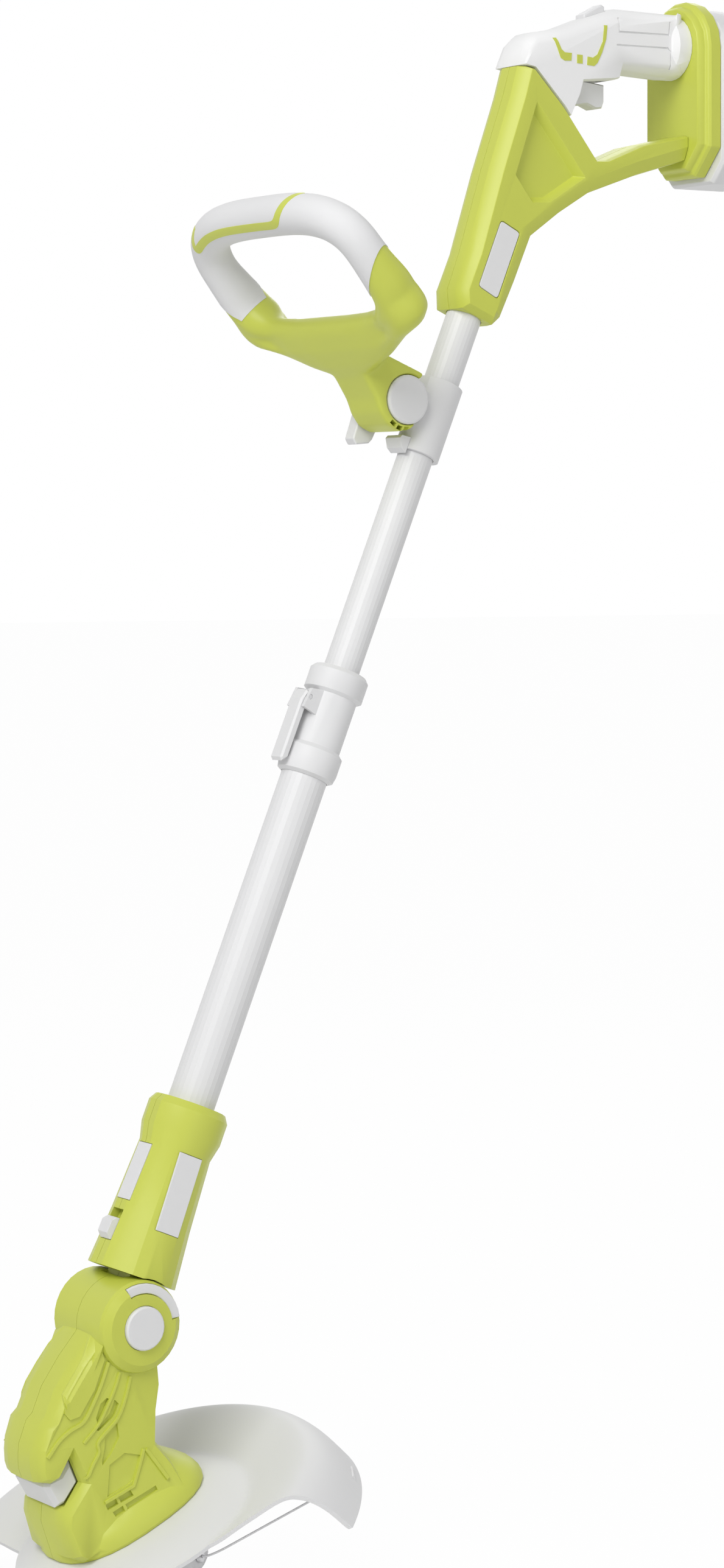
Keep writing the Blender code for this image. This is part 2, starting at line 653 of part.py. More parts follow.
def make_bracket(look, steel, shaft):
    """The sleeve clamped on the upper tube, with the barrel on which the front handle tilts."""
    inner = UPPER_TUBE_RADIUS + FIT
    sleeve = pipe(BRACKET_RADIUS, inner, BRACKET_LOW, BRACKET_HIGH)
    bracket = finish("handle_bracket", sleeve, look, shaft)
    half = BARREL_HALF_LENGTH - BARREL_CAP
    arm = mm((-14.4, 61), (-14.4, 84), (-26, 82), (-26, 63))
    join(bracket, slab(arm, [(-11 * MM, 0.0), (11 * MM, 0.0)]))
    boss = mm((-14.4, 38), (-14.4, 50), (-22, 48.5), (-23, 46), (-19, 40))
    join(bracket, slab(boss, [(-9 * MM, 0.0), (9 * MM, 0.0)]))
    place = (BARREL_P, 0, BARREL_T)
    join(bracket, rod(BARREL_RADIUS, -half, half, WIDE_SIDES, "Y"), place)
    cut(bracket, rod(inner, BRACKET_LOW - 5 * MM, BRACKET_HIGH + 5 * MM, TUBE_SIDES))
    cut(bracket, rod(CLAMP_BOLT_RADIUS + FIT, -half - 9 * MM, half + 9 * MM, PIN_SIDES, "Y"), place)
    near, far = -BARREL_HALF_LENGTH, -half - FIT
    profile = [(0, near), (BARREL_RADIUS - 1.5 * MM, near), (BARREL_RADIUS, near + 1.2 * MM)]
    profile += [(BARREL_RADIUS, far), (0, far)]
    made = finish("barrel_cap", turned(profile, WIDE_SIDES, "Y"), look, shaft, place)
    bolt_start = far - 2 * MM
    cut(made, rod(CLAMP_BOLT_RADIUS + FIT, bolt_start - FIT, far + 3 * MM, PIN_SIDES, "Y"), place)
    bolt_end = BARREL_HALF_LENGTH + LEVER_THICKNESS - 4 * MM
    finish("clamp_bolt", rod(CLAMP_BOLT_RADIUS, bolt_start, bolt_end, PIN_SIDES, "Y"), steel, shaft, place)


def lever_outline():
    """World-level side view of the clamp lever, about the barrel's axis."""
    blade = mm((-11, -2), (-19.4, -26.3), (-17, -30.5), (-6, -29.5), (-3, -26.8), (5, -12))
    hub = []
    for k in range(9):
        angle = math.radians(-40 + 220 * k / 8)
        hub.append(Vector((math.cos(angle), math.sin(angle))) * LEVER_HUB_RADIUS)
    return blade + hub


def make_clamp_lever(look, place):
    pivot = frame("clamp_lever_pivot", place, 0)
    low = BARREL_HALF_LENGTH + FIT
    high = low + LEVER_THICKNESS
    stations = [(low, 0.6 * MM), (low + 1 * MM, 0.0), (high - 2.5 * MM, 0.0), (high, 2.0 * MM)]
    lever = finish("clamp_lever", slab(lever_outline(), stations), look, pivot)
    cut(lever, rod(CLAMP_BOLT_RADIUS + FIT, low - 5 * MM, high - 3.5 * MM, PIN_SIDES, "Y"))


def loop_centre(angle):
    """The centreline of the D-shaped loop, as (y, z) in the handle's frame."""
    c, s = math.cos(angle), math.sin(angle)
    power = 3.2 if s > 0 else 4.0
    middle = (LOOP_TOP + LOOP_FOOT) / 2
    rise = (LOOP_TOP - LOOP_FOOT) / 2
    y = math.copysign(abs(c) ** (2 / power), c) * LOOP_HALF_WIDTH
    z = math.copysign(abs(s) ** (2 / power), s) * rise
    return Vector((y, LOOP_BASE + middle + z))


def loop_ring(angle, radius, sides=12):
    """A round section of the loop, square to its centreline."""
    step = 0.02
    along = (loop_centre(angle + step) - loop_centre(angle - step)).normalized()
    out = Vector((0, along.y, -along.x))
    centre = loop_centre(angle)
    middle = Vector((LOOP_OFFSET, centre.x, centre.y))
    ring = []
    for k in range(sides):
        turn = 2 * math.pi * (k + 0.5) / sides
        ring.append(middle + out * radius * math.cos(turn) + Vector((1, 0, 0)) * radius * math.sin(turn))
    return ring


def loop_radius(angle):
    """Thick at the top bar, a little slimmer down the limbs, slim along the lower bar."""
    s = math.sin(angle)
    if s >= 0:
        return LOOP_LIMB_RADIUS + (LOOP_BAR_RADIUS - LOOP_LIMB_RADIUS) * s
    return LOOP_LIMB_RADIUS + (LOOP_LOW_RADIUS - LOOP_LIMB_RADIUS) * min(1, -s * 1.3)


def closed_tube(rings):
    """A tube whose last ring joins its first."""
    mesh = bmesh.new()
    loops = [[mesh.verts.new(point) for point in ring] for ring in rings]
    for below, above in zip(loops, loops[1:] + loops[:1]):
        for i in range(len(below)):
            j = (i + 1) % len(below)
            mesh.faces.new((below[i], below[j], above[j], above[i]))
    return mesh


def sleeve(outer_rings, inner_rings):
    """An open tube with a wall, from rings along its outside and its inside."""
    return closed_tube(outer_rings + inner_rings[::-1])


def make_front_handle(look, grip_look, place):
    """The D-shaped loop with its yoke, and the pale sleeve moulded over its upper part."""
    pivot = frame("front_handle_pivot", place, HANDLE_TILT)
    first, last = SLEEVE_FROM, SLEEVE_TO
    rings = []
    for k in range(LOOP_STEPS + 1):
        angle = first + (last - first) * k / LOOP_STEPS
        rings.append(loop_ring(angle, loop_radius(angle) - SLEEVE_WALL - FIT))
    gap = 0.012
    for k in range(LOOP_STEPS - 3):
        angle = last + gap + (first + 2 * math.pi - last - 2 * gap) * k / (LOOP_STEPS - 4)
        rings.append(loop_ring(angle, loop_radius(angle)))
    handle = finish("front_handle", closed_tube(rings), look, pivot)
    base = LOOP_BASE
    sections = [(-27, 19, 11, -9), (-17, 46, 12, -9.5), (-3, 76, 11.5, -10.5)]
    sections += [(9, 84, 9.5, -10.7), (15, 70, 7, -10.7)]
    body = []
    for s, half_y, half_x, x in sections:
        z = base + s * MM
        body.append([Vector((p.x, p.y, z)) for p in oval(half_x * MM, half_y * MM, 3.6, 20, (x * MM, 0))])
    join(handle, loft(body))
    inner, outer = BARREL_RADIUS + FIT, BARREL_RADIUS + JAW_WALL
    jaw = []
    for k in range(15):
        angle = JAW_FROM + (JAW_TO - JAW_FROM) * k / 14
        jaw.append(Vector((math.cos(angle), math.sin(angle))) * inner)
    jaw.append(Vector((math.cos(JAW_TO), math.sin(JAW_TO))) * (outer - 1.5 * MM))
    neck = base - 16 * MM
    jaw += [Vector((4 * MM, base - 24 * MM)), Vector((1 * MM, neck)), Vector((-19 * MM, neck))]
    for degrees, proud in ((142, 2.2), (165, 0.2), (190, -0.3), (215, -1.3), (240, -3.8)):
        angle = math.radians(degrees)
        jaw.append(Vector((math.cos(angle), math.sin(angle))) * (outer + proud * MM))
    half = BARREL_HALF_LENGTH - 0.5 * MM
    join(handle, slab(jaw, [(-half, 0.6 * MM), (-half + MM, 0.0), (half - MM, 0.0), (half, 0.6 * MM)]))
    outer_rings, inner_rings = [], []
    for k in range(LOOP_STEPS + 1):
        angle = first + (last - first) * k / LOOP_STEPS
        outer_rings.append(loop_ring(angle, loop_radius(angle)))
        inner_rings.append(loop_ring(angle, loop_radius(angle) - SLEEVE_WALL))
    finish("front_grip", sleeve(outer_rings, inner_rings), grip_look, pivot)


def make_collar(look, lever_look, steel, shaft):
    """The telescopic lock on top of the lower tube, with a cam lever in front."""
    waist, flange = COLLAR_WAIST_RADIUS, COLLAR_FLANGE_RADIUS
    upper_bore, lower_bore = UPPER_TUBE_RADIUS + FIT, LOWER_TUBE_RADIUS + FIT
    top, end = COLLAR_TOP, COLLAR_END
    step = LOWER_TUBE_TOP + FIT
    profile = [(lower_bore, end), (flange - 1 * MM, end + 2 * MM), (flange, end + 7 * MM)]
    profile += [(flange, end + 19 * MM), (waist, end + 22 * MM), (waist, top - 19 * MM)]
    profile += [(flange, top - 17 * MM), (flange, top - 3 * MM), (flange - 2.5 * MM, top)]
    profile += [(upper_bore, top), (upper_bore, step), (lower_bore, step)]
    collar = finish("telescopic_collar", turned(profile, TUBE_SIDES), look, shaft)
    hinge_t = top - 27 * MM
    hinge_p = -flange - 2 * MM
    half = COLLAR_LEVER_WIDTH / 2
    for side in (1, -1):
        ends = sorted((side * (half + FIT), side * (half + FIT + 3.2 * MM)))
        ear = mm((-26, -8), (-14, -10), (-14, 8), (-24, 6))
        shape = [Vector((p.x - (flange - 21 * MM), p.y + hinge_t)) for p in ear]
        join(collar, slab(shape, [(ends[0], 0.0), (ends[1], 0.0)]))
    cut(collar, rod(upper_bore, LOWER_TUBE_TOP, top + MM, TUBE_SIDES))
    cut(collar, rod(lower_bore, end - MM, step, TUBE_SIDES))
    pin_hole = rod(LEVER_PIN_RADIUS + FIT / 2, -half - 9 * MM, half + 9 * MM, PIN_SIDES, "Y")
    cut(collar, pin_hole, (hinge_p, 0, hinge_t))
    pivot = frame("lock_lever_pivot", (hinge_p, 0, hinge_t), 0, shaft)
    outline = mm((-4.5, -3), (-4.6, -46), (-2.6, -48), (1.2, -44), (1.3, -9), (3, -4), (3, 3.5), (-2, 4.5))
    stations = [(-half, 1.2 * MM), (-half + 1.5 * MM, 0.0), (half - 1.5 * MM, 0.0), (half, 1.2 * MM)]
    lever = finish("lock_lever", slab(outline, stations), lever_look, pivot)
    cut(lever, rod(LEVER_PIN_RADIUS + FIT, -half - 5 * MM, half + 5 * MM, PIN_SIDES, "Y"))
    pin = rod(LEVER_PIN_RADIUS, -half - 3 * MM, half + 3 * MM, PIN_SIDES, "Y")
    finish("lock_lever_pin", pin, steel, shaft, (hinge_p, 0, hinge_t))


def octagon(apothem, corner=0.16):
    """A ring of 16 points: an octagon with flats to the front and sides and softened corners."""
    points = []
    for k in range(8):
        for lean in (-1, 1):
            angle = math.radians(22.5 + 45 * k) + lean * corner
            reach = apothem / math.cos(math.radians(22.5) - corner)
            points.append(Vector((math.cos(angle), math.sin(angle))) * reach)
    return points


def neck_sections():
    """(place along the shaft, distance of the flats from its axis) of the neck."""
    rim, top = NECK_RIM_RADIUS, NECK_TOP
    return [
        (NECK_END, rim + 2.8 * MM),
        (top - 80 * MM, rim - 0.3 * MM),
        (top - 32 * MM, rim - 2.8 * MM),
        (top - 20 * MM, rim),
        (top - 5 * MM, rim),
        (top, rim - 3 * MM),
    ]


def neck_flat(t):
    """Distance of the neck's flats from the shaft axis at a place along it."""
    rows = neck_sections()
    for (low, a), (high, b) in zip(rows, rows[1:]):
        if low <= t <= high:
            return a + (b - a) * (t - low) / (high - low)
    return rows[0][1]


def face_panel(t_low, t_high, left, right, deep, proud):
    """A tapered panel that follows a flat of the neck, as a loft along the shaft facing -Y."""
    rings = []
    for t in (t_low, t_high):
        outer, inner = -neck_flat(t) - proud, -neck_flat(t) + deep
        corners = ((left, outer), (right, outer), (right, inner), (left, inner))
        rings.append([Vector((x, y, t)) for x, y in corners])
    return loft(rings)


def make_neck(look, pale, steel, shaft):
    """The swivelling neck: two shells on the tube's end, with the tongue for the head."""
    neck = frame("neck_swivel", (0, 0, 0), 0, shaft)
    front = (0, 0, -math.pi / 2)
    deep = PANEL_THICKNESS
    for side, hand in SIDES:
        rings = [[Vector((p.x, p.y, t)) for p in octagon(flat)] for t, flat in neck_sections()]
        shell = finish(f"neck_shell_{hand}", loft(rings), look, neck)
        cut(shell, rod(DRUM_RADIUS + 1 * MM, -60 * MM, 60 * MM, WIDE_SIDES, "Y"), (0, 0, PIVOT_T))
        half = TONGUE_HALF_WIDTH
        stem = TONGUE_STEM / 2
        eye = [Vector((stem, NECK_END - PIVOT_T + 8 * MM)), Vector((-stem, NECK_END - PIVOT_T + 8 * MM))]
        shoulder = math.acos(stem / TONGUE_RADIUS)
        for k in range(17):
            angle = math.pi - shoulder + (math.pi + 2 * shoulder) * k / 16
            eye.append(Vector((math.cos(angle), math.sin(angle))) * TONGUE_RADIUS)
        join(shell, slab(eye, [(-half, 0.0), (half, 0.0)]), (0, 0, PIVOT_T))
        wall = 60 * MM
        other = (-wall, SEAM) if side > 0 else (-SEAM, wall)
        cut(shell, box((-wall, other[0], PIVOT_T - wall), (wall, other[1], NECK_TOP + wall)))
        cut(shell, rod(LOWER_TUBE_RADIUS + FIT, LOWER_TUBE_END - FIT, NECK_TOP + 9 * MM, TUBE_SIDES))
        cut(shell, rod(RING_RADIUS + FIT, RING_LOW - FIT, RING_LOW + RING_WIDTH + FIT, TUBE_SIDES))
        cut(shell, rod(AXLE_RADIUS + FIT, -half - 9 * MM, half + 9 * MM, SMALL_SIDES, "Y"), (0, 0, PIVOT_T))
        turn = (0, 0, 0) if side < 0 else (0, 0, math.pi)
        left, right = -SIDE_PANEL_BACK, SIDE_PANEL_FRONT
        if side < 0:
            left, right = -SIDE_PANEL_FRONT, SIDE_PANEL_BACK
        low, high = SIDE_PANEL_LOW, SIDE_PANEL_HIGH
        cut(shell, face_panel(low, high, left, right, deep + FIT, 3 * MM), (0, 0, 0), turn)
        panel = face_panel(low + FIT, high - FIT, left + FIT, right - FIT, deep, -0.1 * MM)
        finish(f"neck_panel_{hand}", panel, pale, neck, (0, 0, 0), turn)
        wide = FRONT_PANEL_HALF
        cut(shell, face_panel(FRONT_PANEL_LOW, FRONT_PANEL_HIGH, -wide, wide, deep + FIT, 3 * MM), turn=front)
        low = SWIVEL_BUTTON_LOW - FIT
        high = SWIVEL_BUTTON_HIGH + SWIVEL_BUTTON_TRAVEL + FIT
        wide = SWIVEL_BUTTON_HALF + FIT
        cut(shell, face_panel(low, high, -wide, wide, 6 * MM, 3 * MM), turn=front)
    wide = FRONT_PANEL_HALF - FIT
    panel = face_panel(FRONT_PANEL_LOW + FIT, FRONT_PANEL_HIGH - FIT, -wide, wide, deep, -0.1 * MM)
    finish("neck_panel_front", panel, pale, neck, (0, 0, 0), front)
    pivot = frame("swivel_button_slide", (0, 0, SWIVEL_BUTTON_LOW), 0, neck)
    flat = neck_flat(SWIVEL_BUTTON_LOW)
    height = SWIVEL_BUTTON_HIGH - SWIVEL_BUTTON_LOW
    outline = [Vector((-flat + 5.5 * MM, 0)), Vector((-flat + 5.5 * MM, height))]
    outline += [Vector((-flat - 1 * MM, height)), Vector((-flat - 4.2 * MM, height - 3 * MM))]
    outline += [Vector((-flat - 4.6 * MM, 3.5 * MM)), Vector((-flat - 1 * MM, 0))]
    half = SWIVEL_BUTTON_HALF
    finish("swivel_button", slab(outline, [(-half, 0.0), (half, 0.0)]), pale, pivot)
    ring = pipe(RING_RADIUS, LOWER_TUBE_RADIUS + FIT, RING_LOW, RING_LOW + RING_WIDTH)
    finish("retaining_ring", ring, steel, shaft)


def head_outline():
    """Side view (e, n) of the head's body: hood, nose, mouth, tower and base front."""
    points = mm((-12, 24), (-30, 9), (-48, 1), (-67, -10), (-80, -22), (-86, -24), (-97, -35), (-101, -42))
    points += mm((-104, -50), (-104.5, -57), (-98, -62), (-90, -62), (-80, -55), (-80, -70), (-99, -81))
    points += [Vector((-104 * MM, -90 * MM)), Vector((-106 * MM, BASE_PLANE + 7 * MM))]
    points += [Vector((-100 * MM, BASE_PLANE))]
    points += [Vector((-12 * MM, BASE_PLANE)), Vector((-14 * MM, BASE_PLANE + 28 * MM))]
    points += mm((-18, -76), (-8, -58), (1.5, -45), (8, -28), (12, -5))
    return points


def head_width(e, n):
    """Half-width of the head's body: slim at the nose, broad over the base."""
    down = min(max((-n / MM) / 119.5, 0), 1)
    width = 27 + 12 * down**1.6
    forward = max(-e / MM - 84, 0) / 22
    return width * (1 - 0.13 * forward) * MM


def base_ring(n, shrink, count=TUBE_SIDES):
    """Plan ring of the base skirt at height n, pulled in by `shrink`."""
    middle = (BASE_FRONT + BASE_REAR) / 2
    length = (BASE_REAR - BASE_FRONT) / 2 - shrink
    outline = oval(length, BASE_HALF_WIDTH - shrink, 2.5, count, (middle, 0))
    return [Vector((p.x, p.y, n)) for p in outline]


def tongue_room():
    """Side view of the drum's inner room, open to the rear over the tongue's sweep."""
    outline = []
    room = TONGUE_RADIUS + FIT
    spans = ((SLOT_FROM, SLOT_TO, DRUM_RADIUS + 6 * MM, 8), (SLOT_TO, SLOT_FROM + 2 * math.pi, room, 20))
    for first, last, radius, steps in spans:
        for k in range(steps + 1):
            angle = first + (last - first) * k / steps
            outline.append(Vector((math.cos(angle), math.sin(angle))) * radius)
    return outline


def head_shell(side, name, look, head):
    """One half of the head's housing: drum, hood, mouth and base, with its inner seats."""
    outline = head_outline()
    bulge = [(-1.0, 5), (-0.82, 1.9), (-0.55, 0.45), (0.0, 0.0), (0.55, 0.45), (0.82, 1.9), (1.0, 5)]
    mesh = slab(outline, [(y, depth * MM) for y, depth in bulge])
    for vert in mesh.verts:
        vert.co.y *= head_width(vert.co.x, vert.co.z)
    shell = finish(name, mesh, look, head)
    skirt = [(0, 1), (2, 0), (7, 0.6), (13, 4), (19, 10), (28, 19)]
    join(shell, loft([base_ring(BASE_PLANE + up * MM, shrink * MM) for up, shrink in skirt]))
    radius, near, far = DRUM_RADIUS, -DRUM_NEAR, DRUM_FAR
    drum = [(0, near), (radius - 6 * MM, near), (radius - 1 * MM, near + 3.5 * MM), (radius, near + 6 * MM)]
    drum += [(radius, far - 4 * MM), (radius - 4 * MM, far), (0, far)]
    join(shell, turned(drum, WIDE_SIDES, "Y"))
    wall = 200 * MM
    other = (-wall, SEAM) if side > 0 else (-SEAM, wall)
    cut(shell, box((-wall, other[0], -wall), (wall, other[1], wall)))
    half = TONGUE_HALF_WIDTH + FIT
    cut(shell, slab(tongue_room(), [(-half, 0.0), (half, 0.0)]))
    cut(shell, rod(AXLE_RADIUS + FIT, near + 2 * MM, far - AXLE_INSET, SMALL_SIDES, "Y"))
    cut(shell, rod(PIVOT_BUTTON_RADIUS + FIT, near - 5 * MM, near + BUTTON_WELL, TUBE_SIDES, "Y"))
    spindle = (SPINDLE_E, 0, 0)
    motor_top = MOTOR_LOW + MOTOR_LENGTH
    bearing_top = BEARING_LOW + BEARING_WIDTH
    cut(shell, rod(MOTOR_RADIUS + FIT, MOTOR_LOW - FIT, motor_top + FIT, WIDE_SIDES), spindle)
    cut(shell, rod(BEARING_RADIUS + FIT, BEARING_LOW - FIT, bearing_top + FIT, TUBE_SIDES), spindle)
    cut(shell, rod(SPINDLE_RADIUS + 1.5 * MM, BASE_PLANE - 5 * MM, MOTOR_LOW + 4 * MM), spindle)
    return shell


def ring_insert_outline():
    """The pale quarter ring let into the near face of the drum."""
    inner, outer = PIVOT_BUTTON_RADIUS + 7.5 * MM, DRUM_RADIUS - 1.4 * MM
    points = []
    first, last = math.radians(-17), math.radians(91)
    for radius, order in ((inner, 1), (outer, -1)):
        arc = [first + (last - first) * k / 10 for k in range(11)]
        for angle in arc[::order]:
            points.append(Vector((math.cos(angle), math.sin(angle))) * radius)
    return points[::-1]


def make_head(look, pale, steel, head):
    shells = [head_shell(side, f"head_shell_{hand}", look, head) for side, hand in SIDES]
    near = -DRUM_NEAR
    insert = ring_insert_outline()
    face = near + 1.2 * MM
    cut(shells[1], slab(insert, [(face - 6 * MM, 0.0), (face + 2.6 * MM, 0.0)]))
    steps = [(face, FIT + 0.4 * MM), (face + 0.5 * MM, FIT), (face + 2.3 * MM, FIT)]
    finish("ring_insert", slab(insert, steps), pale, head)
    mouth = mm((-97, -58.5), (-101, -62), (-99, -79), (-92, -80), (-77, -72), (-77, -54), (-88, -60))
    half = MOUTH_HALF
    for shell in shells:
        cut(shell, slab(inset(mouth, -FIT), [(-half - FIT, 0.0), (half + FIT, 0.0)]))
    steps = [(-half, 3 * MM), (-half + 4 * MM, 0.0), (half - 4 * MM, 0.0), (half, 3 * MM)]
    finish("front_insert", slab(mouth, steps), pale, head)
    axle = rod(AXLE_RADIUS, near + BUTTON_WELL + FIT, DRUM_FAR - AXLE_INSET - FIT, SMALL_SIDES, "Y")
    finish("pivot_axle", axle, steel, head)
    seat = near + BUTTON_WELL - PIVOT_BUTTON_TRAVEL - FIT
    face = near - PIVOT_BUTTON_PROUD
    radius = PIVOT_BUTTON_RADIUS
    profile = [(0, face), (radius - 1 * MM, face), (radius, face + 1 * MM), (radius, seat), (0, seat)]
    finish("pivot_button", turned(profile, TUBE_SIDES, "Y"), pale, head)
    return shells


def make_drive(steel, rotor):
    """The motor, its spindle and lower bearing, on the spindle's axis."""
    low, high, radius = MOTOR_LOW, MOTOR_LOW + MOTOR_LENGTH, MOTOR_RADIUS
    edge = 2 * MM
    profile = [(0, low), (radius - edge, low), (radius, low + edge), (radius, high - edge)]
    profile += [(radius - edge, high), (0, high)]
    motor = finish("motor", turned(profile), steel, rotor)
    cut(motor, rod(SPINDLE_RADIUS + FIT, low - MM, high - 6 * MM))
    bearing = pipe(BEARING_RADIUS, SPINDLE_RADIUS + FIT, BEARING_LOW, BEARING_LOW + BEARING_WIDTH)
    finish("spindle_bearing", bearing, steel, rotor)
    spindle = rod(SPINDLE_RADIUS, SPOOL_TOP - 22 * MM, high - 7 * MM)
    finish("spindle", spindle, steel, rotor)


def guard_edge(radius, share):
    """Azimuth of the guard's fan at a radius: both of its ends slant forwards as they go out."""
    out = (radius - GUARD_DISC_RADIUS) / (GUARD_RIM_RADIUS - GUARD_DISC_RADIUS)
    first = math.radians(-84 + 30 * out)
    last = math.radians(133 - 16 * out)
    return first + (last - first) * share


def make_guard(look, rotor):
    """The debris guard: a dished disc under the base and a fan to the rear with a turned-down rim."""
    top = BASE_PLANE - FIT
    disc, rim = GUARD_DISC_RADIUS, GUARD_RIM_RADIUS
    rise = [(disc - 12 * MM, -8.6), (disc, -11), (disc + 16 * MM, -6), (rim - 31 * MM, -1)]
    rise += [(rim - 19 * MM, -6), (rim - 9 * MM, -19), (rim, -GUARD_RIM_DROP / MM)]
    steepness = (0.0, 0.0, 0.0, 0.0, 0.5, 0.85, 1.0)
    wall = GUARD_WALL
    rings = []
    for k in range(GUARD_STEPS + 1):
        upper, lower = [], []
        for (radius, drop), steep in zip(rise, steepness):
            angle = guard_edge(max(radius, disc), k / GUARD_STEPS)
            upper.append(Vector((radius * math.cos(angle), radius * math.sin(angle), top + drop * MM)))
            inner = radius - wall * steep
            sink = wall * (1 - steep * 0.75) if radius < rim else 0.0
            lower.append(Vector((inner * math.cos(angle), inner * math.sin(angle), top + drop * MM - sink)))
        rings.append(upper + lower[::-1])
    fan = loft(rings)
    step = top - 11 * MM
    middle = [(GUARD_BORE, top), (62 * MM, top), (disc - 4 * MM, top - 9.8 * MM), (disc, step)]
    middle += [(disc, step - wall), (disc - 5 * MM, top - 10.4 * MM - wall), (61 * MM, top - wall)]
    middle += [(GUARD_BORE, top - wall)]
    guard = finish("guard", turned(middle, WIDE_SIDES), look, rotor)
    join(guard, fan)
    return guard


def make_guard_screws(guard, shells, steel, rotor):
    top = BASE_PLANE - FIT
    hole = SCREW_RADIUS + FIT
    tip = top + SCREW_LENGTH
    for shell, (side, hand) in zip(shells, SIDES):
        y = side * SCREW_OUT
        cut(guard, rod(hole, top - 9 * MM, top + 5 * MM, PIN_SIDES), (SCREW_FORWARD, y, 0))
        cut(shell, rod(hole, top - 2 * MM, tip + MM, PIN_SIDES), (SPINDLE_E + SCREW_FORWARD, y, 0))
        high = top - GUARD_WALL - FIT
        low = high - SCREW_HEAD_HEIGHT
        profile = [(0, low), (SCREW_HEAD_RADIUS, low), (SCREW_HEAD_RADIUS, high)]
        profile += [(SCREW_RADIUS, high), (SCREW_RADIUS, tip), (0, tip)]
        screw = turned(profile, PIN_SIDES)
        finish(f"guard_screw_{hand}", screw, steel, rotor, (SCREW_FORWARD, y, 0))


def make_line_blade(guard, steel, rotor):
    """The steel blade on a boss inside the guard's rim, which trims the line to length."""
    turn = (0, 0, BLADE_TURN)
    low = BASE_PLANE - FIT - GUARD_RIM_DROP
    seat = GUARD_RIM_RADIUS - 6 * MM
    boss = box((seat, -7 * MM, low + 2 * MM), (GUARD_RIM_RADIUS - 2.5 * MM, 7 * MM, low + 9 * MM))
    join(guard, boss, (0, 0, 0), turn)
    plate = box((seat - FIT - 1.2 * MM, -8 * MM, low - 4 * MM), (seat - FIT, 8 * MM, low + 5 * MM))
    finish("line_blade", plate, steel, rotor, (0, 0, 0), turn)


def make_spool(pale, dark, steel, line_look, rotor):
    """The spinning head: housing, reel, wound line, cover, eyelet and the cutting line."""
    top, radius, wall = SPOOL_TOP, SPOOL_RADIUS, SPOOL_WALL
    low = top - SPOOL_HEIGHT
    hub = SPINDLE_RADIUS + FIT
    profile = [(hub, top), (radius - 4 * MM, top), (radius, top - 4 * MM), (radius, low)]
    profile += [(radius - wall, low), (radius - wall, top - wall - 2 * MM)]
    profile += [(radius - wall - 2 * MM, top - wall), (hub, top - wall)]
    housing = finish("spool_housing", turned(profile), pale, rotor)
    reel_top, reel_low = top - wall - 1 * MM, low + 2 * MM
    core_top, core_low = reel_top - REEL_FLANGE, reel_low + REEL_FLANGE
    edge = radius - wall - 2 * MM
    reel = [(hub, reel_low), (edge, reel_low), (edge, core_low), (REEL_CORE, core_low)]
    reel += [(REEL_CORE, core_top), (edge, core_top), (edge, reel_top), (hub, reel_top)]
    finish("line_reel", turned(reel, TUBE_SIDES), dark, rotor)
    wound = pipe(edge - 7 * MM, REEL_CORE + FIT, core_low + FIT, core_top - FIT)
    finish("wound_line", wound, line_look, rotor)
    face = low - COVER_DROP
    fit = radius - wall - FIT
    cover = [(0, face), (14 * MM, face), (20 * MM, face + 2 * MM), (radius - 5 * MM, low - 1.5 * MM)]
    cover += [(fit, low), (fit, reel_low - FIT), (0, reel_low - FIT)]
    finish("spool_cover", turned(cover, WIDE_SIDES), dark, rotor)
    away = Vector((math.cos(EYELET_TURN), math.sin(EYELET_TURN), 0))
    seat = away * (radius - wall / 2)
    seat.z = LINE_N
    turn = (0, 0, EYELET_TURN)
    cut(housing, rod(EYELET_RADIUS + FIT, -6 * MM, 6 * MM, PIN_SIDES, "X"), seat, turn)
    bore, outside = LINE_RADIUS + FIT, EYELET_RADIUS
    eyelet = [(bore, -2.5 * MM), (outside, -2.5 * MM), (outside, 1.7 * MM), (outside + 1.3 * MM, 1.7 * MM)]
    eyelet += [(outside + 0.9 * MM, 4 * MM), (bore, 4 * MM)]
    finish("line_eyelet", turned(eyelet, PIN_SIDES, "X"), steel, rotor, seat, turn)
    start = away * (radius - 4 * MM)
    bend = away * (radius + 6 * MM)
    middle, end = Vector((*LINE_BEND, 0)), Vector((*LINE_END, 0))
    path = [start]
    for k in range(7):
        t = k / 6
        path.append(bend * (1 - t) ** 2 + (bend + away * 5 * MM) * 2 * t * (1 - t) + middle * t**2)
    path.append(end)
    line = tube_along([point + Vector((0, 0, LINE_N)) for point in path], LINE_RADIUS, 8)
    finish("cutting_line", line, line_look, rotor)


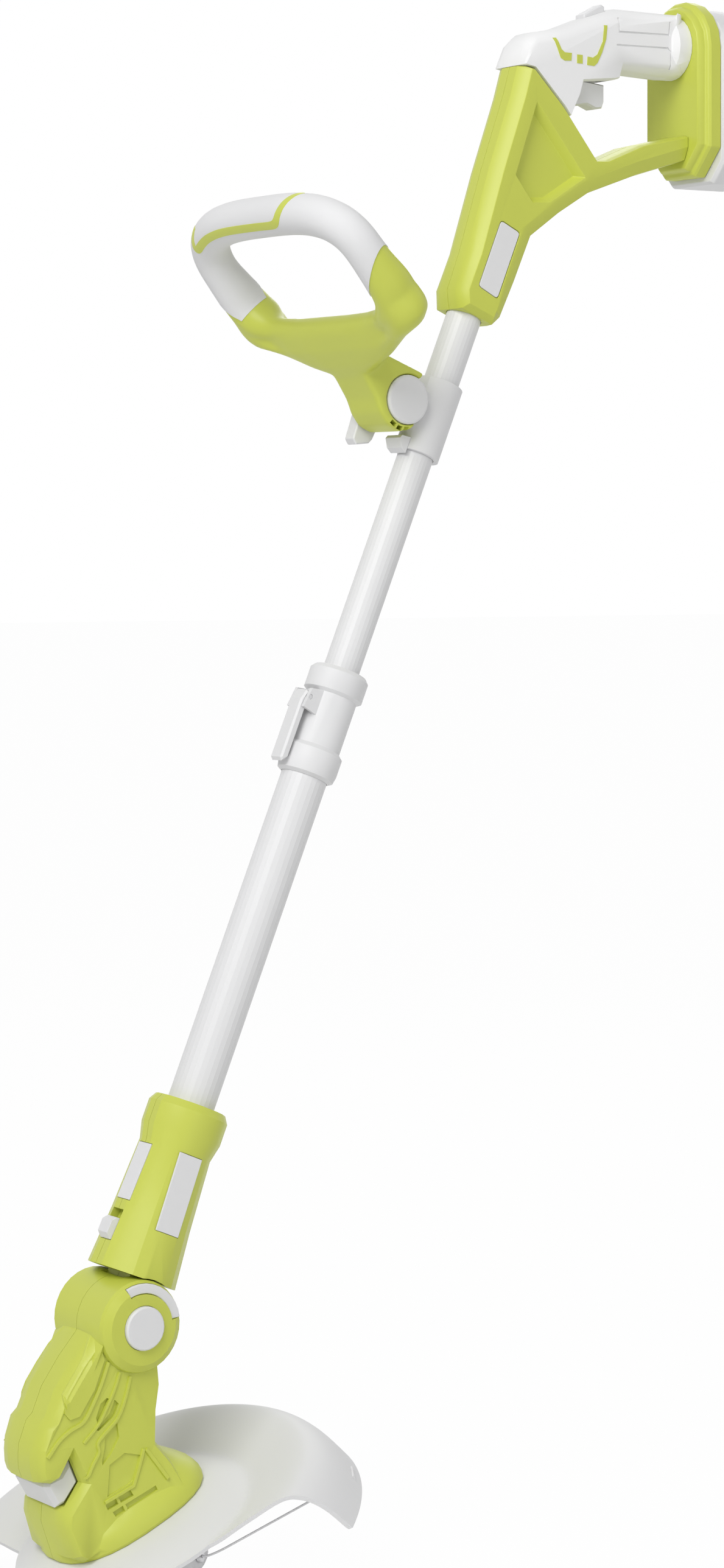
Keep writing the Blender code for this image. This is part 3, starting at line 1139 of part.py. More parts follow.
def main():
    clear_scene()
    lime = material("lime_plastic", (0.56, 0.62, 0.04), 0.42)
    pale = material("pale_plastic", (0.86, 0.86, 0.87), 0.5)
    tube = material("pale_tube", (0.84, 0.84, 0.85), 0.4, 0.2)
    dark = material("dark_plastic", (0.12, 0.12, 0.13), 0.5)
    steel = material("steel", (0.6, 0.6, 0.62), 0.3, 1.0)
    line = material("nylon_line", (0.85, 0.85, 0.86), 0.4)
    shaft = frame("shaft", SHAFT_ORIGIN, SHAFT_LEAN)
    for side, hand in SIDES:
        make_housing(side, f"handle_shell_{hand}", lime)
        make_window_panel(side, f"window_panel_{hand}", pale)
    make_grip(pale)
    make_trigger(pale, steel)
    make_switch(dark)
    make_lock_button(pale)
    make_battery_mount(lime)
    make_terminals(dark)
    make_battery(pale, pale)
    make_tubes(tube, dark, shaft)
    make_bracket(pale, steel, shaft)
    barrel = on_shaft(BARREL_P, BARREL_T)
    place = (barrel.x, 0, barrel.y)
    make_clamp_lever(pale, place)
    make_front_handle(lime, pale, place)
    make_collar(pale, pale, steel, shaft)
    make_neck(lime, pale, steel, shaft)
    pivot = on_shaft(0, PIVOT_T)
    head = frame("head_tilt", (pivot.x, 0, pivot.y), HEAD_TURN)
    rotor = frame("spindle_axis", (SPINDLE_E, 0, 0), 0, head)
    shells = make_head(lime, pale, steel, head)
    make_drive(steel, rotor)
    guard = make_guard(pale, rotor)
    make_guard_screws(guard, shells, steel, rotor)
    make_line_blade(guard, steel, rotor)
    make_spool(pale, dark, steel, line, rotor)


main()
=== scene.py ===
"""Cordless string trimmer: its finishes and fine forms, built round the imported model."""

import json
import math

import bmesh
import bpy
from bpy.props import FloatProperty, FloatVectorProperty, PointerProperty
from mathutils import Matrix, Vector
from mathutils.bvhtree import BVHTree

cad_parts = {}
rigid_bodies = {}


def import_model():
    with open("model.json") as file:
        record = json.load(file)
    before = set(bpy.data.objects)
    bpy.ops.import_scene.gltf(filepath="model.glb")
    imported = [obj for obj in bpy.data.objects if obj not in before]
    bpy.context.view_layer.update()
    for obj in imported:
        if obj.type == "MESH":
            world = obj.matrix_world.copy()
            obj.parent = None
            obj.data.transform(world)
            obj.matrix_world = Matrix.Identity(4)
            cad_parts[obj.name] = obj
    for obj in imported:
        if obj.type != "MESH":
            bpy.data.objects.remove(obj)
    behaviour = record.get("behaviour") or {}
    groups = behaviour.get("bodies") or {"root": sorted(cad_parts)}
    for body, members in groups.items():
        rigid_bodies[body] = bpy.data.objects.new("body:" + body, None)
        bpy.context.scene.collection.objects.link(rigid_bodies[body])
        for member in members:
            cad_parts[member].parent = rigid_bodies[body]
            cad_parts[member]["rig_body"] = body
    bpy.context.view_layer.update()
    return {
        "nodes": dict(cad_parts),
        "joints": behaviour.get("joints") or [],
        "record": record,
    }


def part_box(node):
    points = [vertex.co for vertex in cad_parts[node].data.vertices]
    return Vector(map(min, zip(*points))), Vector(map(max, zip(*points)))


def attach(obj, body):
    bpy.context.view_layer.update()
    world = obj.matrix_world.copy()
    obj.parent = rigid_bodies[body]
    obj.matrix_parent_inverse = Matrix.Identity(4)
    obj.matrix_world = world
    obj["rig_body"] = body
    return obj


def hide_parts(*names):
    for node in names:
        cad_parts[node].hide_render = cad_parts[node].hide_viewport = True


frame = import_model()

bl_info = {
    "name": "Cordless String Trimmer",
    "version": (1, 0, 0),
    "blender": (4, 5, 0),
    "location": "View3D > Sidebar > Trimmer",
    "description": "Dresses the packed trimmer with moulded plastic, trim, vents and line",
    "category": "Object",
}

MM = 0.001
ROW = Matrix.Identity(4)
SIDES = ((1, "right"), (-1, "left"))
HANDS = ("right", "left")
UNDOABLE = {"REGISTER", "UNDO"}

# Copies of the solids: what counts as one point, what as one flat face, and the start of rays
MERGE_DISTANCE = 0.002 * MM
SEAM_DISTANCE = 0.001 * MM
FLAT_ANGLE = math.radians(0.6)
RAY_START = 90 * MM

# Turns of the front handle and the head about Y, and the spindle's place in the head
HANDLE_TILT = math.radians(-37.6)
HEAD_TURN = math.radians(-24.5)
SPINDLE_E = -46 * MM

# The guard, with heights along the spindle from the tilt axis: it hangs just under the head's base
BASE_PLANE = -119.5 * MM
GUARD_GAP = 0.3 * MM
GUARD_TOP = BASE_PLANE - GUARD_GAP
GUARD_DISC_RADIUS = 83 * MM
GUARD_RIM_RADIUS = 152 * MM
GUARD_RIM_DROP = 40 * MM
GUARD_WALL = 2.6 * MM
GUARD_BORE = 20 * MM
GUARD_FLAT_RADIUS = 62 * MM
GUARD_SLOPE_RADIUS = 79 * MM
GUARD_SLOPE_DROP = 9.8 * MM
GUARD_STEP_DROP = 11 * MM
GUARD_UNDER_INSET = 1 * MM
GUARD_UNDER_DROP = 0.6 * MM
GUARD_SWEEP = (-86, 135)
GUARD_SIDES = 128
FAN_STEPS = 96
# Where each slanted end of the fan meets the disc and the rim, in degrees, and which side stays
GUARD_ENDS = ((-84, -54, 1), (133, 117, -1))
# The boss that carries the line blade inside the rim
BOSS_TURN = math.radians(-32)
BOSS_INNER = 6 * MM
BOSS_OUTER = 2.5 * MM
BOSS_HALF_WIDTH = 7 * MM
BOSS_HEIGHTS = (2 * MM, 9 * MM)
BLADE_EDGE_SHARE = 0.25

# The front handle's loop, in the handle's frame: a D of two half superellipses
LOOP_OFFSET = -10.7 * MM
LOOP_BASE = 60.7 * MM
LOOP_HALF_WIDTH = 91 * MM
LOOP_TOP = 102 * MM
LOOP_FOOT = 9 * MM
LOOP_TOP_POWER = 3.2
LOOP_FOOT_POWER = 4.0
LOOP_BAR_RADIUS = 14 * MM
LOOP_LIMB_RADIUS = 13 * MM
LOOP_LOW_RADIUS = 8.5 * MM
LOOP_THINNING = 1.3
LOOP_NEARBY = 0.02
LIMB_SWELL = 3.6 * MM
LIMB_SWELL_TOP = 132 * MM
LIMB_SWELL_RUN = 44 * MM
LIMB_INNER = 62 * MM
LIMB_REACH = 22 * MM
# Where each limb grows out of the yoke: height, middle (x, y), half widths (x, y), in millimetres
LIMB_CORNER = (
    (50, -10, 42, 9.5, 13),
    (57.7, -9.7, 60, 11, 16),
    (64.8, -8, 79.5, 14, 16.8),
    (71.3, -6.2, 86, 16.4, 16),
    (78, -6.2, 88.4, 16.8, 14.4),
    (86, -6.6, 89.4, 16.4, 12.8),
    (92, -7, 90, 15.4, 11.8),
)
BAR_INSET = 0.2 * MM
BAR_STEPS = 96
BAR_SIDES = 32
BLEND_VOXEL = 1.3 * MM
BLEND_ROUNDS = 22
# Hollows in the near end of the jaw: degrees about the barrel, radii in millimetres, and Y range
JAW_POCKETS = ((188, 201), (205, 217), (221, 233))
JAW_POCKET_RADII = (19.6, 22.6)
JAW_POCKET_DEPTHS = (-25 * MM, -9 * MM)
JAW_POCKET_STEPS = 4
JAW_TAPER_START = 215
JAW_TAPER = 0.05

# The pale overmould: its ends in degrees round the loop, and the height of its edge on each limb
OVERMOULD_ENDS = (-24, 200)
OVERMOULD_STEPS = 72
OVERMOULD_LIFT = 0.25 * MM
OVERMOULD_WALL = 1.6 * MM
OVERMOULD_EDGE = 0.5 * MM
OVERMOULD_CUTS = ((1, 42 * MM), (-1, 50 * MM))
# How far that edge rises for each step backwards and outwards
OVERMOULD_CLIMB = (0.35, 1.1)
# The lime trim on it: loop angle and turn round the bar, in degrees
TRIM_LINE = (
    (48, -30), (42, -55), (38, -76), (40, -90), (50, -92), (62, -90), (76, -88),
    (90, -88), (98, -88), (101.5, -80), (104, -58), (106.5, -30), (109, 0), (111, 32),
)
TRIM_DEPTH = 0.8 * MM

# Forms of the head's flanks, as (e, n) millimetres from the tilt axis: each recess has a depth
HEAD_RECESSES = (
    ([(-46, -30.5), (-40.5, -29.5), (-38.3, -32.2), (-47, -37.5), (-53.5, -40.5), (-53, -37)], 2.2),
    ([(-36, -33.5), (-34.5, -37.5), (-41, -43), (-55, -45.3), (-56.5, -43.6), (-43, -39.2)], 2.4),
    ([(-41, -48), (-44, -57), (-54, -63.5), (-62.5, -66.5), (-61.5, -63.5), (-56, -57),
      (-53, -51.5)], 1.8),
    ([(-72, -90.5), (-63.6, -90.9), (-63.6, -95), (-72, -94.3)], 2.6),
    ([(-61.6, -91), (-52, -91.5), (-51.6, -96), (-61.6, -95.2)], 2.6),
    ([(-69.5, -97.3), (-61.4, -97.6), (-61.4, -101.6), (-69, -101.2)], 2.6),
    ([(-59.4, -97.7), (-35, -98.6), (-35, -102), (-59.4, -101.6)], 2.2),
    ([(-58, -69), (-45, -68), (-35.5, -75.5), (-47.2, -87), (-52, -87.8), (-68.6, -86.6)], 1.3),
)
# The hood panel and its height, and the ribs with their half widths and heights
HOOD_PANEL = ((-29, 9), (-66, -12), (-71.5, -22.5), (-70, -28), (-63, -29.5), (-46, -19.5), (-31.5, -6))
HOOD_HEIGHT = 1.6 * MM
HEAD_RIBS = (
    ([(-29.5, -9), (-40, -19), (-51, -27.5), (-62, -34.2), (-73, -34.6), (-83, -36.6),
      (-94, -42)], 1.2, 1.5),
    ([(-25, -19.5), (-33, -27), (-42, -33.8), (-54, -41.6), (-68, -46.5)], 0.9, 1.2),
    ([(-19.5, -26), (-30, -37.5), (-40, -45.2), (-52.5, -49), (-59.5, -52), (-61.5, -57.5),
      (-69, -62.5), (-76, -68)], 1.0, 1.4),
    ([(-31.8, -73), (-47, -88.5), (-52, -90), (-72, -88.6)], 1.1, 1.3),
    ([(-30.5, -74), (-28, -86), (-25.5, -99)], 1.4, 1.6),
)
CUTTER_HEIGHT = 6 * MM
PANEL_ROOT = 3 * MM
RIB_ROOT = 2 * MM
# A rib's or trim's section: its shoulders' share of the height, and its top's share of the width
RIBBON_SHOULDER = 0.6
RIBBON_TOP = 0.8

# Corners (x, z) of the grip's inlays and grooves, in millimetres that are GRIP_SHIFT over the record's
GRIP_SHIFT = (220, 343)
GRIP_INLAYS = (
    ((123.8, 338.5), (126.7, 338.8), (131, 330.9), (134, 328.8), (140.3, 328.8), (139.9, 323.3),
     (134, 322.9), (130.4, 324.6), (127.1, 332.1)),
    ((145.2, 321.9), (150.1, 321.9), (150.1, 328.1), (145.2, 328.1)),
    ((154.7, 327.3), (159.6, 326.9), (163.6, 329.5), (168.6, 339.3), (170, 351.2), (172.8, 351.2),
     (171.6, 341.1), (168, 331.4), (163.6, 323.3), (160.6, 321), (154.3, 321.3)),
)
GRIP_GROOVES = (
    ((183.1, 357.8), (184.4, 358), (184.8, 348.3), (229.6, 349.6), (230.6, 358.6), (231.8, 358.4),
     (230.8, 348.3), (183.7, 346.9)),
    ((181.6, 338.6), (229.4, 339.9), (232.4, 336.8), (232.4, 323.7), (231.2, 323.7), (231.2, 336.1),
     (228.9, 338.6), (181.6, 337.3)),
)
INLAY_DEPTH = 0.8 * MM
GROOVE_DEPTH = 1.1 * MM

# The stage: its middle, floor and lamps (place, size, watts)
STAGE_CENTRE = Vector((-0.3, 0, -0.55))
FLOOR_HALF_SIZE = 30
FLOOR_GLOW = 0.975
PAPER_TONES = ((0.86, 0.86, 0.86, 1), (0.9, 0.9, 0.9, 1))
WORLD_LIGHT = 0.43
WHITE = (1, 1, 1, 1)
LAMPS = (
    ("key", (-2.2, -1.2, 1.4), 1.6, 52),
    ("fill", (-0.2, -3.0, 0.0), 2.2, 9),
    ("back", (1.6, 1.8, 0.9), 1.6, 12),
)
# The photograph's camera: a level one that looks along the heading below
PHOTO_SIZE = (1189, 2576)
FOCAL_PIXELS = 6019
HORIZON_PIXEL = 908
SENSOR_WIDTH = 36
HEADING = math.radians(34.65)
CAMERA_PLACE = Vector((-1694.2 * MM, -2090.7 * MM, -371.9 * MM))


def joint_place(name):
    """The point of a joint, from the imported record."""
    for joint in frame["joints"]:
        if joint["name"] == name:
            return Vector(joint["pos_m"])
    raise RuntimeError(f"no joint {name}")


def turned_frame(place, turn):
    """A frame turned about Y, as the handle's and the head's are."""
    return Matrix.Translation(place) @ Matrix.Rotation(turn, 4, "Y")


HANDLE = turned_frame(joint_place("front_handle_tilt"), HANDLE_TILT)
HEAD = turned_frame(joint_place("head_tilt"), HEAD_TURN)
ROTOR = HEAD @ Matrix.Translation((SPINDLE_E, 0, 0))


class Wire:
    """A shader socket. Python arithmetic on it adds Math nodes."""

    def __init__(self, graph, socket):
        self.graph = graph
        self.socket = socket

    def math(self, operation, other, swap=False):
        pair = (other, self) if swap else (self, other)
        return self.graph.node("ShaderNodeMath", {"operation": operation}, dict(enumerate(pair)))

    def __add__(self, other):
        return self.math("ADD", other)

    __radd__ = __add__

    def __sub__(self, other):
        return self.math("SUBTRACT", other)

    def __rsub__(self, other):
        return self.math("SUBTRACT", other, swap=True)

    def __mul__(self, other):
        return self.math("MULTIPLY", other)

    __rmul__ = __mul__


class Graph:
    """A node tree under construction."""

    def __init__(self, tree):
        self.tree = tree

    def feed(self, socket, value):
        if isinstance(value, Wire):
            self.tree.links.new(value.socket, socket)
        else:
            socket.default_value = value

    def node(self, kind, settings=None, values=None, output=0):
        """Adds a node: its settings first, then the values or links of its sockets."""
        made = self.tree.nodes.new(kind)
        for key, value in (settings or {}).items():
            setattr(made, key, value)
        for key, value in (values or {}).items():
            self.feed(made.inputs[key], value)
        return Wire(self, made.outputs[output])

    def seen_rays(self):
        """1 on rays from the camera, mirrored or passing, and 0 on light that falls on the object."""
        camera = self.node("ShaderNodeLightPath", output="Is Camera Ray")
        path = camera.socket.node
        mirrored = Wire(self, path.outputs["Is Glossy Ray"])
        passing = Wire(self, path.outputs["Is Transmission Ray"])
        return camera.math("MAXIMUM", mirrored).math("MAXIMUM", passing)

    def finish_with(self, end, factor, first, second):
        """Feeds a mix of two shaders to the surface of the tree's output node."""
        mixed = self.node("ShaderNodeMixShader", None, {0: factor, 1: first, 2: second})
        self.feed(self.tree.nodes[end].inputs["Surface"], mixed)


class Look(Graph):
    """A node material under construction."""

    def __init__(self, name):
        self.material = bpy.data.materials.new(name)
        self.material.use_nodes = True
        super().__init__(self.material.node_tree)
        self.shader = self.tree.nodes["Principled BSDF"]

    def place(self, scale=(1, 1, 1)):
        """Object coordinates, stretched."""
        coordinates = self.node("ShaderNodeTexCoord", output="Object")
        return self.node("ShaderNodeMapping", None, {"Vector": coordinates, "Scale": scale})

    def noise(self, scale, detail=3.0, stretch=(1, 1, 1)):
        values = {"Vector": self.place(stretch), "Scale": scale, "Detail": detail}
        return self.node("ShaderNodeTexNoise", None, values)

    def mix(self, factor, first, second):
        values = {"Factor": factor, 6: first, 7: second}
        return self.node("ShaderNodeMix", {"data_type": "RGBA"}, values, output=2)

    def set(self, **values):
        for key, value in values.items():
            self.feed(self.shader.inputs[key.replace("_", " ")], value)

    def bump(self, height, strength, distance):
        values = {"Height": height, "Strength": strength, "Distance": distance}
        self.set(Normal=self.node("ShaderNodeBump", None, values))


def shade(color, factor):
    """A lighter or darker colour."""
    return (*[min(1.0, c * factor) for c in color], 1)


def moulded_plastic(name, color, roughness, grain, spread):
    """Injection-moulded plastic: a fine spark-eroded grain and faint flow mottling."""
    look = Look(name)
    flow = look.noise(scale=9, detail=2.0)
    grains = look.noise(scale=1500, detail=2.0)
    tone = flow * 0.7 + grains * 0.3
    look.set(Base_Color=look.mix(tone, shade(color, 1 - spread), shade(color, 1 + spread)))
    look.set(Roughness=grains * 0.12 + (roughness - 0.06))
    look.bump(grains, grain, distance=0.05 * MM)
    return look.material


def lime_plastic(name, colors):
    """Lime housings and trim."""
    return moulded_plastic(name, colors.lime, roughness=0.42, grain=0.2, spread=0.035)


def pale_plastic(name, colors):
    """Pale panels, levers and guard."""
    return moulded_plastic(name, colors.pale, roughness=0.5, grain=0.2, spread=0.02)


def dark_plastic(name, colors):
    """Dark switch, contacts, reel and cover."""
    return moulded_plastic(name, colors.dark, roughness=0.5, grain=0.2, spread=0.06)


def soft_overmould(name, colors):
    """Soft rubbery overmould: matt, with a pebbled skin."""
    look = Look(name)
    pebbles = look.node("ShaderNodeTexVoronoi", None, {"Vector": look.place(), "Scale": 900})
    flow = look.noise(scale=14, detail=3.0)
    look.set(Base_Color=look.mix(flow, shade(colors.pale, 0.96), shade(colors.pale, 1.03)))
    look.set(Roughness=pebbles * 0.1 + 0.75)
    look.bump(pebbles, strength=0.3, distance=0.06 * MM)
    return look.material


def coated_tube(name, colors):
    """Powder-coated aluminium tube: a faint cloud and a fine peel."""
    look = Look(name)
    peel = look.noise(scale=700, detail=2.0)
    cloud = look.noise(scale=6, detail=2.0)
    look.set(Base_Color=look.mix(cloud, shade(colors.pale, 0.97), shade(colors.pale, 1.02)))
    look.set(Roughness=peel * 0.1 + 0.36)
    look.bump(peel, strength=0.15, distance=0.03 * MM)
    look.set(Metallic=0.0)
    return look.material


def turned_steel(name, colors):
    """Turned steel, with fine scratches."""
    look = Look(name)
    scratch = look.noise(scale=400, detail=4.0, stretch=(1, 1, 12))
    look.set(Base_Color=look.mix(scratch, shade(colors.steel, 0.85), shade(colors.steel, 1.1)))
    look.set(Roughness=scratch * 0.2 + 0.25)
    look.set(Metallic=1.0)
    look.bump(scratch, strength=0.1, distance=0.02 * MM)
    return look.material


def nylon_filament(name, colors):
    """Cutting line: smooth nylon, a little clouded."""
    look = Look(name)
    cloud = look.noise(scale=60, detail=2.0)
    look.set(Base_Color=look.mix(cloud, shade(colors.line, 0.93), shade(colors.line, 1.03)))
    look.set(Roughness=cloud * 0.15 + 0.3)
    return look.material


SLOT_LOOKS = {
    "lime": ("moulded_lime", lime_plastic),
    "pale": ("pale_housing", pale_plastic),
    "pale_grip": ("pale_overmould", soft_overmould),
    "tube": ("coated_tube", coated_tube),
    "dark": ("dark_housing", dark_plastic),
    "steel": ("turned_steel", turned_steel),
    "line": ("nylon_filament", nylon_filament),
}


def get_look(slot):
    """The finish of a material slot, made once from the colours of the panel."""
    name, make = SLOT_LOOKS[slot]
    return bpy.data.materials.get(name) or make(name, bpy.context.scene.trimmer_finish)


def slot_of(node):
    """The material slot of a CAD node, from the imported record."""
    for row in frame["record"]["subparts"]:
        if row["node"] == node:
            return row["material_slot"]
    raise RuntimeError(f"no node {node}")


def body_of(node):
    """The body that a CAD node rides on."""
    return frame["nodes"][node]["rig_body"]


def kept_as(name, mesh):
    """A mesh of its own from a bmesh, which is freed."""
    data = bpy.data.meshes.new(name)
    mesh.to_mesh(data)
    mesh.free()
    return data


def linked(name, data):
    """A new object in the scene."""
    made = bpy.data.objects.new(name, data)
    bpy.context.scene.collection.objects.link(made)
    return made


def shaded(data, angle):
    """Gives a mesh smooth shading, with the edges past an angle in degrees left sharp."""
    data.shade_smooth()
    data.set_sharp_from_angle(angle=math.radians(angle))


def dressed(data, look):
    """Gives a mesh one finish."""
    data.materials.clear()
    data.materials.append(look)


def loose_copy(node):
    """A copy of a CAD node's mesh as it was packed."""
    mesh = bmesh.new()
    mesh.from_mesh(frame["nodes"][node].data)
    return mesh


def solid_copy(node):
    """A merged copy of a CAD node's mesh, with its flat faces whole again."""
    mesh = loose_copy(node)
    bmesh.ops.remove_doubles(mesh, verts=mesh.verts, dist=MERGE_DISTANCE)
    bmesh.ops.dissolve_limit(mesh, angle_limit=FLAT_ANGLE, verts=mesh.verts, edges=mesh.edges)
    return mesh


def surface_of(mesh):
    """The surface of a bmesh, which is freed, for things that lie on it."""
    tree = BVHTree.FromBMesh(mesh)
    mesh.free()
    return tree


def set_piece(name, mesh, body, slot, place=ROW, smooth=32, replaces=()):
    """Puts a bmesh in the scene as a finished piece that rides on its body."""
    bmesh.ops.transform(mesh, matrix=place, verts=mesh.verts)
    data = kept_as(name, mesh)
    shaded(data, smooth)
    dressed(data, get_look(slot))
    made = linked(name, data)
    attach(made, body)
    if replaces:
        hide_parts(*replaces)
    return made


def skin_of(node, smooth=32):
    """Stands a merged copy of a CAD node in its place."""
    body, slot = body_of(node), slot_of(node)
    return set_piece(f"{node}_skin", solid_copy(node), body, slot, smooth=smooth, replaces=(node,))


def bevelled(piece, width, segments=2, angle=34):
    """Softens the moulded edges of a piece, as a mould's radii do."""
    step = piece.modifiers.new("moulded edges", "BEVEL")
    step.width = width
    step.segments = segments
    step.limit_method = "ANGLE"
    step.angle_limit = math.radians(angle)
    step.profile = 0.5
    step.miter_outer = "MITER_ARC"
    step.harden_normals = True


def finished(node, width, segments=2, smooth=32):
    """Stands a softened copy of a CAD node in its place."""
    bevelled(skin_of(node, smooth), width, segments)


def carry_over(*nodes):
    """Keeps CAD nodes whose shape is right, and gives each its finish."""
    for node in nodes:
        dressed(frame["nodes"][node].data, get_look(slot_of(node)))


def settle(piece):
    """Applies the modifiers that are on a piece, so that its mesh has their shape."""
    bpy.context.view_layer.update()
    graph = bpy.context.evaluated_depsgraph_get()
    result = bpy.data.meshes.new_from_object(piece.evaluated_get(graph))
    piece.modifiers.clear()
    old = piece.data
    piece.data = result
    bpy.data.meshes.remove(old)


def carve(piece, cutter, place=ROW, operation="DIFFERENCE"):
    """Takes a bmesh out of a piece, or adds it, and keeps the result as the piece's mesh."""
    bmesh.ops.transform(cutter, matrix=place, verts=cutter.verts)
    data = kept_as("cutter", outward(cutter))
    tool = linked("cutter", data)
    step = piece.modifiers.new("carve", "BOOLEAN")
    step.operation = operation
    step.solver = "EXACT"
    step.object = tool
    settle(piece)
    bpy.data.objects.remove(tool)
    bpy.data.meshes.remove(data)


def soften(piece, look, width, angle):
    """Sets the shading and finish of a carved piece, and softens its edges."""
    shaded(piece.data, angle)
    dressed(piece.data, look)
    bevelled(piece, width, angle=angle)


def outward(mesh):
    """Merges doubles and turns the faces of a new bmesh outwards."""
    bmesh.ops.remove_doubles(mesh, verts=mesh.verts, dist=SEAM_DISTANCE)
    bmesh.ops.recalc_face_normals(mesh, faces=mesh.faces)
    return mesh


def picked(geometry, kind):
    """The vertices, edges or faces among the results of an operator."""
    return [each for each in geometry if isinstance(each, kind)]


def thickened(mesh, depth):
    """Closes a skin into a slab, by extruding it along a vector."""
    grown = bmesh.ops.extrude_face_region(mesh, geom=list(mesh.faces))["geom"]
    bmesh.ops.translate(mesh, verts=picked(grown, bmesh.types.BMVert), vec=depth)
    return outward(mesh)


def plate(outline, low, high):
    """A slab whose side view is an outline of (x, z) millimetres, from Y low to Y high."""
    mesh = bmesh.new()
    mesh.faces.new([mesh.verts.new((x * MM, low, z * MM)) for x, z in outline])
    return thickened(mesh, (0, high - low, 0))


def block(low, high):
    """A box between two corners."""
    mesh = bmesh.new()
    bmesh.ops.create_cube(mesh, size=1)
    low, high = Vector(low), Vector(high)
    bmesh.ops.scale(mesh, verts=mesh.verts, vec=high - low)
    bmesh.ops.translate(mesh, verts=mesh.verts, vec=(low + high) / 2)
    return mesh


def spun(profile, steps, sweep=math.tau, start=0.0):
    """Turns a closed (radius, height) profile in metres about Z."""
    mesh = bmesh.new()
    row = [mesh.verts.new((r * math.cos(start), r * math.sin(start), z)) for r, z in profile]
    edges = [mesh.edges.new((a, b)) for a, b in zip(row, row[1:] + row[:1])]
    full = sweep == math.tau
    bmesh.ops.spin(
        mesh,
        geom=row + edges,
        cent=(0, 0, 0),
        axis=(0, 0, 1),
        dvec=(0, 0, 0),
        angle=sweep,
        steps=steps,
        use_merge=full,
    )
    if not full:
        close_ends(mesh)
    return outward(mesh)


def close_ends(mesh):
    """Fills the open ends of a bmesh."""
    bmesh.ops.holes_fill(mesh, edges=[e for e in mesh.edges if e.is_boundary], sides=0)


def swept(corners, stations):
    """A closed bar of one outline, whose rings stand at a row of frames."""
    mesh = bmesh.new()
    ring = [mesh.verts.new((x, y, 0)) for x, y in corners]
    face = mesh.faces.new(ring)
    bmesh.ops.transform(mesh, matrix=stations[0], verts=ring)
    top = face
    for before, after in zip(stations, stations[1:]):
        grown = bmesh.ops.extrude_face_region(mesh, geom=[top])["geom"]
        moved = picked(grown, bmesh.types.BMVert)
        bmesh.ops.transform(mesh, matrix=after @ before.inverted(), verts=moved)
        new_top = picked(grown, bmesh.types.BMFace)[0]
        if top is not face:
            mesh.faces.remove(top)
        top = new_top
    return outward(mesh)


def ribbon_along(stations, half_width, proud, deep):
    """A flat strip whose rings stand at a row of frames: X across, Y out of the surface."""
    shoulder, top = proud * RIBBON_SHOULDER, half_width * RIBBON_TOP
    corners = ((-half_width, -deep), (-half_width, shoulder), (-top, proud))
    corners += ((top, proud), (half_width, shoulder), (half_width, -deep))
    return swept(corners, stations)


def round_corners(sides):
    """The corners of a round section of radius 1."""
    return [(math.cos(math.tau * k / sides), math.sin(math.tau * k / sides)) for k in range(sides)]


def add_form(forms, form):
    """Adds one closed form to a bmesh of several."""
    data = kept_as("form", form)
    forms.from_mesh(data)
    bpy.data.meshes.remove(data)


def eased(points, steps=5):
    """A smooth line through points, as a Catmull-Rom curve."""
    ends = [points[0], *points, points[-1]]
    line = []
    for four in zip(ends, ends[1:], ends[2:], ends[3:]):
        for k in range(steps):
            line.append(tuple(eased_value(k / steps, *values) for values in zip(*four)))
    return [*line, points[-1]]


def eased_value(t, p, q, r, s):
    """The Catmull-Rom value between q and r, at a share t of the way."""
    straight = 2 * q + (r - p) * t
    bend = 2 * p - 5 * q + 4 * r - s
    twist = 3 * q - p - 3 * r + s
    return 0.5 * (straight + bend * t**2 + twist * t**3)


def smooth_step(value):
    """0 to 1 with an easy start and end, and flat outside."""
    value = max(0.0, min(1.0, value))
    return value * value * (3 - 2 * value)


def path_frames(spots, normals):
    """Frames along a line of places: X across, Y along the surface's normal, Z along the line."""
    stations = []
    for i, (spot, normal) in enumerate(zip(spots, normals)):
        along = spots[min(i + 1, len(spots) - 1)] - spots[max(i - 1, 0)]
        along = (along - normal * along.dot(normal)).normalized()
        axes = Matrix((normal.cross(along), normal, along)).transposed().to_4x4()
        stations.append(Matrix.Translation(spot) @ axes)
    return stations


def inward_of(side, place):
    """The direction from a side of a frame towards its middle plane."""
    return (place.to_3x3() @ Vector((0, -side, 0))).normalized()


def flank_spot(tree, x, z, side, place):
    """Where a ray from one side meets a surface, and its normal there."""
    start = place @ Vector((x, side * RAY_START, z))
    spot, normal = tree.ray_cast(start, inward_of(side, place))[:2]
    if spot is None:
        raise RuntimeError(f"a form on a flank misses it at {(x / MM, z / MM)}")
    return spot, normal


def flank_frames(tree, points, side, place):
    """Frames along a line of (e, n) millimetres laid on a flank, X across and Y outwards."""
    found = [flank_spot(tree, e * MM, n * MM, side, place) for e, n in points]
    return path_frames([spot for spot, _ in found], [normal for _, normal in found])


def flank_block(tree, outline, side, place, above, below, cuts=2):
    """A block between two skins that follow a flank, cut to an outline of (e, n) millimetres."""
    mesh = bmesh.new()
    mesh.faces.new([mesh.verts.new((e * MM, 0, n * MM)) for e, n in outline])
    bmesh.ops.triangulate(mesh, faces=mesh.faces)
    bmesh.ops.subdivide_edges(mesh, edges=mesh.edges, cuts=cuts, use_grid_fill=True)
    inward = inward_of(side, place)
    for vert in mesh.verts:
        vert.co = flank_spot(tree, vert.co.x, vert.co.z, side, place)[0] - inward * above
    return thickened(mesh, inward * (above + below))


